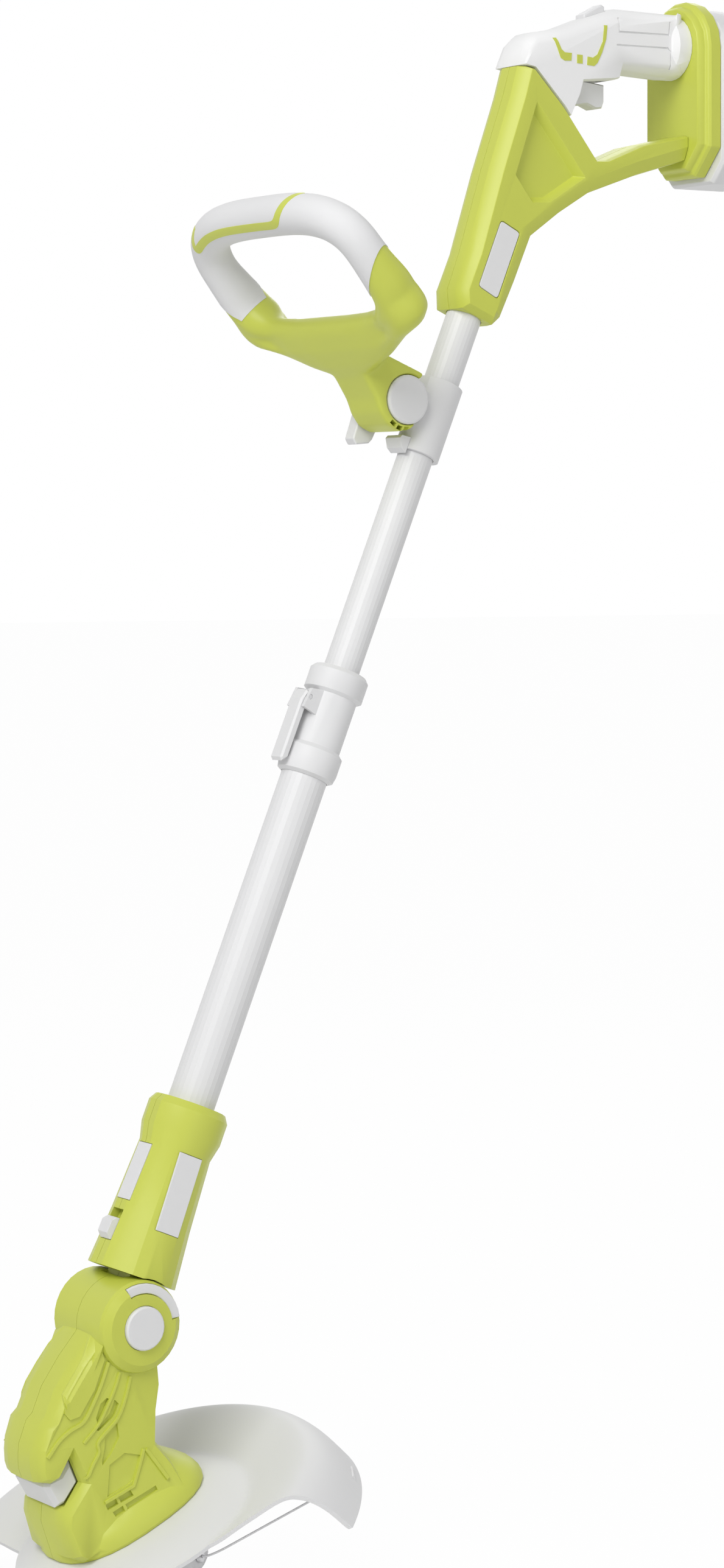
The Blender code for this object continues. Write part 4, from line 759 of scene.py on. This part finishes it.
def loop_place(angle):
    """The D-shaped centreline of the front handle, in the handle's frame, as the CAD has it."""
    c, s = math.cos(angle), math.sin(angle)
    share = 2 / (LOOP_TOP_POWER if s > 0 else LOOP_FOOT_POWER)
    y = math.copysign(abs(c) ** share, c) * LOOP_HALF_WIDTH
    z = math.copysign(abs(s) ** share, s) * (LOOP_TOP - LOOP_FOOT) / 2
    return Vector((LOOP_OFFSET, y, LOOP_BASE + (LOOP_TOP + LOOP_FOOT) / 2 + z))


def loop_radius(angle):
    """The bar's radius: full at the top, slim at the foot."""
    s = math.sin(angle)
    if s >= 0:
        return LOOP_LIMB_RADIUS + (LOOP_BAR_RADIUS - LOOP_LIMB_RADIUS) * s
    return LOOP_LIMB_RADIUS + (LOOP_LOW_RADIUS - LOOP_LIMB_RADIUS) * min(1, -s * LOOP_THINNING)


def loop_section(angle, grow):
    """The frame of a section of the loop, scaled to its half widths: X fore and aft.

    Low down the limbs are deeper than the round bar, and they keep their girth into the corners.
    """
    centre = loop_place(angle)
    out = smooth_step((abs(centre.y) - LIMB_INNER) / LIMB_REACH)
    radius = loop_radius(angle)
    low = centre.z < LOOP_BASE + LOOP_TOP / 2
    radius += (LOOP_LIMB_RADIUS - radius) * out * low + grow
    swell = LIMB_SWELL * out * smooth_step((LIMB_SWELL_TOP - centre.z) / LIMB_SWELL_RUN)
    along = (loop_place(angle + LOOP_NEARBY) - loop_place(angle - LOOP_NEARBY)).normalized()
    across = Vector((1, 0, 0))
    axes = Matrix((across, along.cross(across), along)).transposed().to_4x4()
    place = Matrix.Translation(centre + across * swell)
    return place @ axes @ Matrix.Diagonal((radius + swell, radius, radius, 1))


def on_loop(angle, turn):
    """A place on the loop's skin, and the direction out of the bar there."""
    section = loop_section(angle, 0.0)
    spoke = Vector((math.sin(turn), math.cos(turn), 0))
    out = section.to_3x3().inverted().transposed() @ spoke
    along = section.col[2].to_3d().normalized()
    return section @ spoke, (out - along * out.dot(along)).normalized()


def blended(node, forms):
    """A copy of a CAD node and some forms on it, flowing into each other as one moulding's do."""
    solid = solid_copy(node)
    for form in forms:
        add_form(solid, form)
    piece = set_piece(f"{node}_skin", solid, body_of(node), slot_of(node), replaces=(node,))
    remesh = piece.modifiers.new("one skin", "REMESH")
    remesh.mode = "VOXEL"
    remesh.voxel_size = BLEND_VOXEL
    ease = piece.modifiers.new("ease", "SMOOTH")
    ease.factor = 0.5
    ease.iterations = BLEND_ROUNDS
    settle(piece)
    return piece


def handle_forms():
    """The bar under the overmould, and the full corners where the limbs grow out of the yoke."""
    circle = round_corners(BAR_SIDES)
    # One step more than the full turn, so that both ends of the bar lie inside it
    angles = [math.tau * k / BAR_STEPS for k in range(BAR_STEPS + 2)]
    yield swept(circle, [HANDLE @ loop_section(angle, -BAR_INSET) for angle in angles])
    for side in (1, -1):
        yield swept(circle, [
            HANDLE @ Matrix.Translation((x * MM, side * y * MM, z * MM))
            @ Matrix.Diagonal((half_x * MM, half_y * MM, MM, 1))
            for z, x, y, half_x, half_y in LIMB_CORNER
        ])


def jaw_pockets():
    """The hollows between the little ribs in the near end of the handle's jaw."""
    inner, outer = JAW_POCKET_RADII
    for first, last in JAW_POCKETS:
        outline = []
        for radius, start, end in ((inner, first, last), (outer, last, first)):
            for k in range(JAW_POCKET_STEPS + 1):
                turn = start + (end - start) * k / JAW_POCKET_STEPS
                reach = radius - max(0, turn - JAW_TAPER_START) * JAW_TAPER
                angle = math.radians(turn)
                outline.append((reach * math.cos(angle), reach * math.sin(angle)))
        yield plate(outline, *JAW_POCKET_DEPTHS)


def make_yoke():
    """The lime yoke and loop of the front handle, with the pockets in its jaw."""
    handle = blended("front_handle", handle_forms())
    for pocket in jaw_pockets():
        carve(handle, pocket, HANDLE)
    shaded(handle.data, angle=45)


def make_overmould():
    """The pale overmould of the front handle, with a slanted edge on each limb."""
    first, last = (math.radians(angle) for angle in OVERMOULD_ENDS)
    mesh = bmesh.new()
    ring = bmesh.ops.create_circle(mesh, cap_ends=False, segments=BAR_SIDES, radius=1.0)["verts"]
    edges = list(mesh.edges)
    before = loop_section(first, OVERMOULD_LIFT)
    bmesh.ops.transform(mesh, matrix=before, verts=ring)
    for k in range(1, OVERMOULD_STEPS + 1):
        here = loop_section(first + (last - first) * k / OVERMOULD_STEPS, OVERMOULD_LIFT)
        grown = bmesh.ops.extrude_edge_only(mesh, edges=edges)["geom"]
        ring = picked(grown, bmesh.types.BMVert)
        edges = [e for e in picked(grown, bmesh.types.BMEdge) if all(v in ring for v in e.verts)]
        bmesh.ops.transform(mesh, matrix=here @ before.inverted(), verts=ring)
        before = here
    for side, height in OVERMOULD_CUTS:
        cut_limb(mesh, side, height)
    bmesh.ops.recalc_face_normals(mesh, faces=mesh.faces)
    bmesh.ops.solidify(mesh, geom=list(mesh.faces), thickness=OVERMOULD_WALL)
    grip = set_piece(
        "front_grip_skin", mesh, "front_handle", "pale_grip", HANDLE, smooth=50, replaces=("front_grip",),
    )
    bevelled(grip, OVERMOULD_EDGE, angle=50)


def cut_limb(mesh, side, height):
    """Cuts the overmould's limb on one side along a slanted plane, at a height over the loop's base."""
    limb = [v for v in mesh.verts if v.co.y * side > 0]
    edges = dict.fromkeys(e for v in limb for e in v.link_edges)
    faces = dict.fromkeys(f for v in limb for f in v.link_faces)
    geometry = [*limb, *edges, *faces]
    spot = Vector((LOOP_OFFSET, side * LOOP_HALF_WIDTH, LOOP_BASE + height))
    back, out = OVERMOULD_CLIMB
    normal = Vector((-back, -side * out, 1)).normalized()
    bmesh.ops.bisect_plane(mesh, geom=geometry, plane_co=spot, plane_no=normal, clear_inner=True)


def make_trim(detail):
    """The lime trim that runs over the overmould."""
    skin = [on_loop(math.radians(angle), math.radians(turn)) for angle, turn in eased(TRIM_LINE)]
    stations = path_frames([spot for spot, _ in skin], [out for _, out in skin])
    trim = ribbon_along(stations, detail.trim_width / 2, detail.trim_proud, TRIM_DEPTH)
    set_piece("front_handle_trim", trim, "front_handle", "lime", HANDLE)


def grip_outline(corners):
    """An outline on the grip, in the record's millimetres."""
    return [(x - GRIP_SHIFT[0], z - GRIP_SHIFT[1]) for x, z in corners]


def make_grip(detail):
    """The pale grip with its pressed grooves, in the plain finish that it has in the pack."""
    grip = skin_of("rear_grip", smooth=40)
    flank = surface_of(loose_copy("rear_grip"))
    for side in (1, -1):
        for corners in GRIP_GROOVES:
            outline = grip_outline(corners)
            carve(grip, flank_block(flank, outline, side, ROW, CUTTER_HEIGHT, GROOVE_DEPTH))
    plain = frame["nodes"]["rear_grip"].data.materials[0]
    soften(grip, plain, detail.edge, angle=40)


def make_inlays(detail):
    """The thin lime inlays on both sides of the grip."""
    flank = surface_of(solid_copy("rear_grip"))
    proud = detail.trim_proud
    for side, hand in SIDES:
        for number, corners in enumerate(GRIP_INLAYS):
            outline = grip_outline(corners)
            inlay = flank_block(flank, outline, side, ROW, proud, INLAY_DEPTH - proud, cuts=3)
            set_piece(f"grip_inlay_{hand}_{number + 1}", inlay, "handle", "lime")


def make_head_shell(side, hand, detail):
    """One head shell with its recesses, hood panel and ribs."""
    name = f"head_shell_{hand}"
    shell = skin_of(name, smooth=30)
    flank = surface_of(loose_copy(name))
    for outline, depth in HEAD_RECESSES:
        carve(shell, flank_block(flank, outline, side, HEAD, CUTTER_HEIGHT, depth * MM))
    soften(shell, get_look("lime"), detail.fine_edge, angle=30)
    forms = bmesh.new()
    add_form(forms, flank_block(flank, HOOD_PANEL, side, HEAD, HOOD_HEIGHT, PANEL_ROOT))
    for line, half_width, height in HEAD_RIBS:
        stations = flank_frames(flank, eased(line, steps=6), side, HEAD)
        add_form(forms, ribbon_along(stations, half_width * MM, height * MM, RIB_ROOT))
    ribs = set_piece(f"head_ribs_{hand}", forms, "head", "lime")
    bevelled(ribs, detail.fine_edge, angle=40)


def guard_fan():
    """The guard's fan: a curved section turned about the spindle, both ends cut on a slant."""
    disc, rim = GUARD_DISC_RADIUS / MM, GUARD_RIM_RADIUS / MM
    # Radius and height over the guard's top along the upper skin, in millimetres
    rise = (
        (disc - 12, -8.6), (disc, -11), (disc + 16, -6), (rim - 31, -1), (rim - 19, -6), (rim - 9, -19),
        (rim, -GUARD_RIM_DROP / MM),
    )
    line = [Vector(point) for point in eased(rise)]
    under = []
    for i, point in enumerate(line):
        along = (line[min(i + 1, len(line) - 1)] - line[max(i - 1, 0)]).normalized()
        under.append(point + Vector((along.y, -along.x)) * GUARD_WALL / MM)
    lowest = GUARD_TOP - GUARD_RIM_DROP
    profile = [(p.x * MM, max(GUARD_TOP + p.y * MM, lowest)) for p in line + under[::-1]]
    first, last = (math.radians(angle) for angle in GUARD_SWEEP)
    fan = spun(profile, FAN_STEPS, last - first, first)
    for start, end, turn in GUARD_ENDS:
        a, b = guard_point(disc, start), guard_point(rim, end)
        normal = (b - a).cross(Vector((0, 0, 1))) * turn
        geometry = [*fan.verts, *fan.edges, *fan.faces]
        bmesh.ops.bisect_plane(fan, geom=geometry, plane_co=a, plane_no=normal, clear_outer=True)
        close_ends(fan)
    return fan


def guard_point(radius, degrees):
    """A point round the spindle, from millimetres and degrees."""
    angle = math.radians(degrees)
    return Vector((radius * math.cos(angle), radius * math.sin(angle), 0)) * MM


def guard_disc():
    """The guard's dished disc, turned about the spindle."""
    step = GUARD_TOP - GUARD_STEP_DROP
    slope = GUARD_TOP - GUARD_SLOPE_DROP
    return spun([
        (GUARD_BORE, GUARD_TOP),
        (GUARD_FLAT_RADIUS, GUARD_TOP),
        (GUARD_SLOPE_RADIUS, slope),
        (GUARD_DISC_RADIUS, step),
        (GUARD_DISC_RADIUS, step - GUARD_WALL),
        (GUARD_SLOPE_RADIUS - GUARD_UNDER_INSET, slope - GUARD_UNDER_DROP - GUARD_WALL),
        (GUARD_FLAT_RADIUS - GUARD_UNDER_INSET, GUARD_TOP - GUARD_WALL),
        (GUARD_BORE, GUARD_TOP - GUARD_WALL),
    ], GUARD_SIDES)


def make_guard(detail):
    """The guard: its disc, its fan and the boss that carries the line blade."""
    disc = guard_disc()
    guard = set_piece("guard_skin", disc, "head", "pale", ROTOR, smooth=30, replaces=("guard",))
    carve(guard, guard_fan(), ROTOR, "UNION")
    low, high = (GUARD_TOP - GUARD_RIM_DROP + height for height in BOSS_HEIGHTS)
    near = (GUARD_RIM_RADIUS - BOSS_INNER, -BOSS_HALF_WIDTH, low)
    far = (GUARD_RIM_RADIUS - BOSS_OUTER, BOSS_HALF_WIDTH, high)
    carve(guard, block(near, far), ROTOR @ Matrix.Rotation(BOSS_TURN, 4, "Z"), "UNION")
    soften(guard, get_look("pale"), detail.fine_edge, angle=34)


def make_floor():
    """Pale paper floor that the camera sees nearly white, and that keeps the shadow."""
    look = Look("floor_paper")
    fibres = look.noise(scale=40, detail=3.0)
    look.set(Base_Color=look.mix(fibres, *PAPER_TONES), Roughness=0.9)
    glow = look.node("ShaderNodeEmission")
    paper = Wire(look, look.shader.outputs[0])
    look.finish_with("Material Output", look.seen_rays() * FLOOR_GLOW, paper, glow)
    mesh = bmesh.new()
    bmesh.ops.create_grid(mesh, x_segments=1, y_segments=1, size=FLOOR_HALF_SIZE)
    low = min(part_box(node)[0].z for node in frame["nodes"])
    bmesh.ops.translate(mesh, verts=mesh.verts, vec=(0, 0, low))
    data = kept_as("floor", mesh)
    data.materials.append(look.material)
    linked("floor", data)


def make_world():
    """White round the object, and a plain even light on it."""
    world = bpy.data.worlds.new("studio")
    world.use_nodes = True
    bpy.context.scene.world = world
    graph = Graph(world.node_tree)
    background = graph.tree.nodes["Background"]
    graph.feed(background.inputs["Color"], WHITE)
    graph.feed(background.inputs["Strength"], 1.0)
    even = graph.node("ShaderNodeBackground", None, {"Color": WHITE, "Strength": WORLD_LIGHT})
    white = Wire(graph, background.outputs[0])
    graph.finish_with("World Output", graph.seen_rays(), even, white)


def make_lamps():
    """Soft square lamps that look at the object's middle."""
    for name, place, size, power in LAMPS:
        lamp = bpy.data.lights.new(name, "AREA")
        lamp.size = size
        lamp.energy = power
        made = linked(name, lamp)
        made.location = place
        made.rotation_euler = (STAGE_CENTRE - Vector(place)).to_track_quat("-Z", "Y").to_euler()


def make_camera():
    """The photograph's camera."""
    view = bpy.data.cameras.new("photograph")
    view.sensor_width = SENSOR_WIDTH
    view.lens = SENSOR_WIDTH * FOCAL_PIXELS / PHOTO_SIZE[1]
    view.shift_y = (HORIZON_PIXEL - PHOTO_SIZE[1] / 2) / PHOTO_SIZE[1]
    camera = linked("photograph", view)
    camera.location = CAMERA_PLACE
    camera.rotation_euler = (math.radians(90), 0, -HEADING)
    bpy.context.scene.camera = camera
    bpy.context.scene.view_settings.view_transform = "Standard"


class TrimmerFinish(bpy.types.PropertyGroup):
    """Colours of the trimmer's plastics, tubes and metal."""

    lime: FloatVectorProperty(
        name="Lime plastic", description="Colour of the moulded housings",
        subtype="COLOR", size=3, min=0, max=1, default=(0.56, 0.61, 0.085),
    )
    pale: FloatVectorProperty(
        name="Pale plastic", description="Colour of the front grip, tubes, levers, panels and guard",
        subtype="COLOR", size=3, min=0, max=1, default=(0.75, 0.75, 0.756),
    )
    dark: FloatVectorProperty(
        name="Dark plastic", description="Colour of the switch, contact block, reel and cover",
        subtype="COLOR", size=3, min=0, max=1, default=(0.09, 0.09, 0.1),
    )
    steel: FloatVectorProperty(
        name="Steel", description="Colour of the pins, blade, motor case and spindle",
        subtype="COLOR", size=3, min=0, max=1, default=(0.62, 0.62, 0.63),
    )
    line: FloatVectorProperty(
        name="Cutting line", description="Colour of the nylon line",
        subtype="COLOR", size=3, min=0, max=1, default=(0.86, 0.86, 0.87),
    )


class TrimmerDetail(bpy.types.PropertyGroup):
    """Sizes of the fine forms."""

    edge: FloatProperty(
        name="Moulded edge", description="Radius on the edges of the lime housings",
        subtype="DISTANCE", unit="LENGTH", min=0.0001, max=0.003, default=0.0008,
    )
    fine_edge: FloatProperty(
        name="Fine edge", description="Radius on the edges of the small pieces",
        subtype="DISTANCE", unit="LENGTH", min=0.0001, max=0.001, default=0.0004,
    )
    trim_width: FloatProperty(
        name="Trim width", description="Width of the lime trim on the front handle",
        subtype="DISTANCE", unit="LENGTH", min=0.001, max=0.012, default=0.006,
    )
    trim_proud: FloatProperty(
        name="Trim height", description="How far the inlays and trim stand out of the grips",
        subtype="DISTANCE", unit="LENGTH", min=0.0001, max=0.001, default=0.0004,
    )


class TRIMMER_OT_rear_housing(bpy.types.Operator):
    """Rear housing: two lime half shells and their window panels"""

    bl_idname = "trimmer.rear_housing"
    bl_label = "Rear housing"
    bl_options = UNDOABLE

    def execute(self, context):
        detail = context.scene.trimmer_detail
        for hand in HANDS:
            finished(f"handle_shell_{hand}", detail.edge, segments=3)
            finished(f"window_panel_{hand}", detail.fine_edge)
        return {"FINISHED"}


class TRIMMER_OT_rear_grip(bpy.types.Operator):
    """Rear grip: pale overmould with lime inlays and moulded grooves"""

    bl_idname = "trimmer.rear_grip"
    bl_label = "Rear grip"
    bl_options = UNDOABLE

    def execute(self, context):
        detail = context.scene.trimmer_detail
        make_grip(detail)
        make_inlays(detail)
        return {"FINISHED"}


class TRIMMER_OT_controls(bpy.types.Operator):
    """Trigger, lock-off button, switch and hinge pin"""

    bl_idname = "trimmer.controls"
    bl_label = "Controls"
    bl_options = UNDOABLE

    def execute(self, context):
        detail = context.scene.trimmer_detail
        finished("trigger", detail.edge, segments=3)
        finished("lock_off_button", detail.fine_edge, segments=3)
        carry_over("trigger_pin", "trigger_switch")
        return {"FINISHED"}


class TRIMMER_OT_battery(bpy.types.Operator):
    """Battery mount, contact block, battery pack and its two latches"""

    bl_idname = "trimmer.battery"
    bl_label = "Battery"
    bl_options = UNDOABLE

    def execute(self, context):
        detail = context.scene.trimmer_detail
        finished("battery_mount", detail.edge, segments=3)
        finished("battery_pack", detail.edge, segments=3)
        for hand in HANDS:
            finished(f"battery_latch_{hand}", detail.fine_edge)
        carry_over("terminal_block")
        return {"FINISHED"}


class TRIMMER_OT_shaft(bpy.types.Operator):
    """Telescopic shaft: both tubes, the guide, the collar and its cam lever"""

    bl_idname = "trimmer.shaft"
    bl_label = "Shaft"
    bl_options = UNDOABLE

    def execute(self, context):
        detail = context.scene.trimmer_detail
        carry_over("upper_tube", "lower_tube", "tube_guide", "lock_lever_pin")
        finished("telescopic_collar", detail.fine_edge)
        finished("lock_lever", detail.fine_edge)
        return {"FINISHED"}


class TRIMMER_OT_handle_mount(bpy.types.Operator):
    """Bracket, barrel cap, clamp bolt and clamp lever of the front handle"""

    bl_idname = "trimmer.handle_mount"
    bl_label = "Handle mount"
    bl_options = UNDOABLE

    def execute(self, context):
        detail = context.scene.trimmer_detail
        finished("handle_bracket", detail.edge)
        finished("barrel_cap", detail.edge)
        finished("clamp_lever", detail.edge, segments=3)
        carry_over("clamp_bolt")
        return {"FINISHED"}


class TRIMMER_OT_front_handle(bpy.types.Operator):
    """Front handle: lime yoke and loop, pale overmould and its lime trim"""

    bl_idname = "trimmer.front_handle"
    bl_label = "Front handle"
    bl_options = UNDOABLE

    def execute(self, context):
        detail = context.scene.trimmer_detail
        make_yoke()
        make_overmould()
        make_trim(detail)
        return {"FINISHED"}


class TRIMMER_OT_neck(bpy.types.Operator):
    """Swivel neck: two lime shells, three panels, the button and the ring"""

    bl_idname = "trimmer.neck"
    bl_label = "Neck"
    bl_options = UNDOABLE

    def execute(self, context):
        detail = context.scene.trimmer_detail
        for hand in HANDS:
            finished(f"neck_shell_{hand}", detail.edge, segments=3, smooth=24)
            finished(f"neck_panel_{hand}", detail.fine_edge)
        finished("neck_panel_front", detail.fine_edge)
        finished("swivel_button", detail.fine_edge)
        carry_over("retaining_ring")
        return {"FINISHED"}


class TRIMMER_OT_head(bpy.types.Operator):
    """Cutting head: two lime shells with ribs and vents, inserts, button, axle and motor"""

    bl_idname = "trimmer.head"
    bl_label = "Head"
    bl_options = UNDOABLE

    def execute(self, context):
        detail = context.scene.trimmer_detail
        for side, hand in SIDES:
            make_head_shell(side, hand, detail)
        finished("ring_insert", detail.fine_edge)
        finished("front_insert", detail.fine_edge)
        finished("pivot_button", detail.fine_edge)
        carry_over("pivot_axle", "motor", "spindle_bearing")
        return {"FINISHED"}


class TRIMMER_OT_guard(bpy.types.Operator):
    """Debris guard, its two screws and the line blade"""

    bl_idname = "trimmer.guard"
    bl_label = "Guard"
    bl_options = UNDOABLE

    def execute(self, context):
        detail = context.scene.trimmer_detail
        make_guard(detail)
        finished("line_blade", detail.fine_edge * BLADE_EDGE_SHARE)
        carry_over("guard_screw_left", "guard_screw_right")
        return {"FINISHED"}


class TRIMMER_OT_spool(bpy.types.Operator):
    """Spool housing, cover, reel, wound line, eyelet, spindle and the cutting line"""

    bl_idname = "trimmer.spool"
    bl_label = "Spool"
    bl_options = UNDOABLE

    def execute(self, context):
        detail = context.scene.trimmer_detail
        finished("spool_housing", detail.fine_edge)
        finished("spool_cover", detail.fine_edge)
        carry_over("line_reel", "wound_line", "line_eyelet", "cutting_line", "spindle")
        return {"FINISHED"}


class TRIMMER_OT_stage(bpy.types.Operator):
    """Pale floor, white surroundings, soft studio lamps and the photograph's camera"""

    bl_idname = "trimmer.stage"
    bl_label = "Stage"
    bl_options = UNDOABLE

    def execute(self, context):
        make_floor()
        make_world()
        make_lamps()
        make_camera()
        return {"FINISHED"}


class TRIMMER_PT_panel(bpy.types.Panel):
    """Lists the colours, the sizes and the pieces."""

    bl_idname = "TRIMMER_PT_panel"
    bl_label = "String Trimmer"
    bl_space_type = "VIEW_3D"
    bl_region_type = "UI"
    bl_category = "Trimmer"

    def draw(self, context):
        for group in (context.scene.trimmer_finish, context.scene.trimmer_detail):
            box = self.layout.box()
            for key in group.bl_rna.properties.keys():
                if key not in ("rna_type", "name"):
                    box.prop(group, key)
        for operator in OPERATORS:
            self.layout.operator(operator.bl_idname)


OPERATORS = (
    TRIMMER_OT_rear_housing,
    TRIMMER_OT_rear_grip,
    TRIMMER_OT_controls,
    TRIMMER_OT_battery,
    TRIMMER_OT_shaft,
    TRIMMER_OT_handle_mount,
    TRIMMER_OT_front_handle,
    TRIMMER_OT_neck,
    TRIMMER_OT_head,
    TRIMMER_OT_guard,
    TRIMMER_OT_spool,
    TRIMMER_OT_stage,
)
CLASSES = (TrimmerFinish, TrimmerDetail, *OPERATORS, TRIMMER_PT_panel)


def register():
    """Registers the classes, and gives the scene the values of the panel."""
    for each in CLASSES:
        bpy.utils.register_class(each)
    bpy.types.Scene.trimmer_finish = PointerProperty(type=TrimmerFinish)
    bpy.types.Scene.trimmer_detail = PointerProperty(type=TrimmerDetail)


def unregister():
    """Takes back what register adds."""
    del bpy.types.Scene.trimmer_detail
    del bpy.types.Scene.trimmer_finish
    for each in reversed(CLASSES):
        bpy.utils.unregister_class(each)


def main():
    """Builds every piece and the stage."""
    register()
    for operator in OPERATORS:
        group, name = operator.bl_idname.split(".")
        getattr(getattr(bpy.ops, group), name)()


if __name__ == "__main__":
    main()
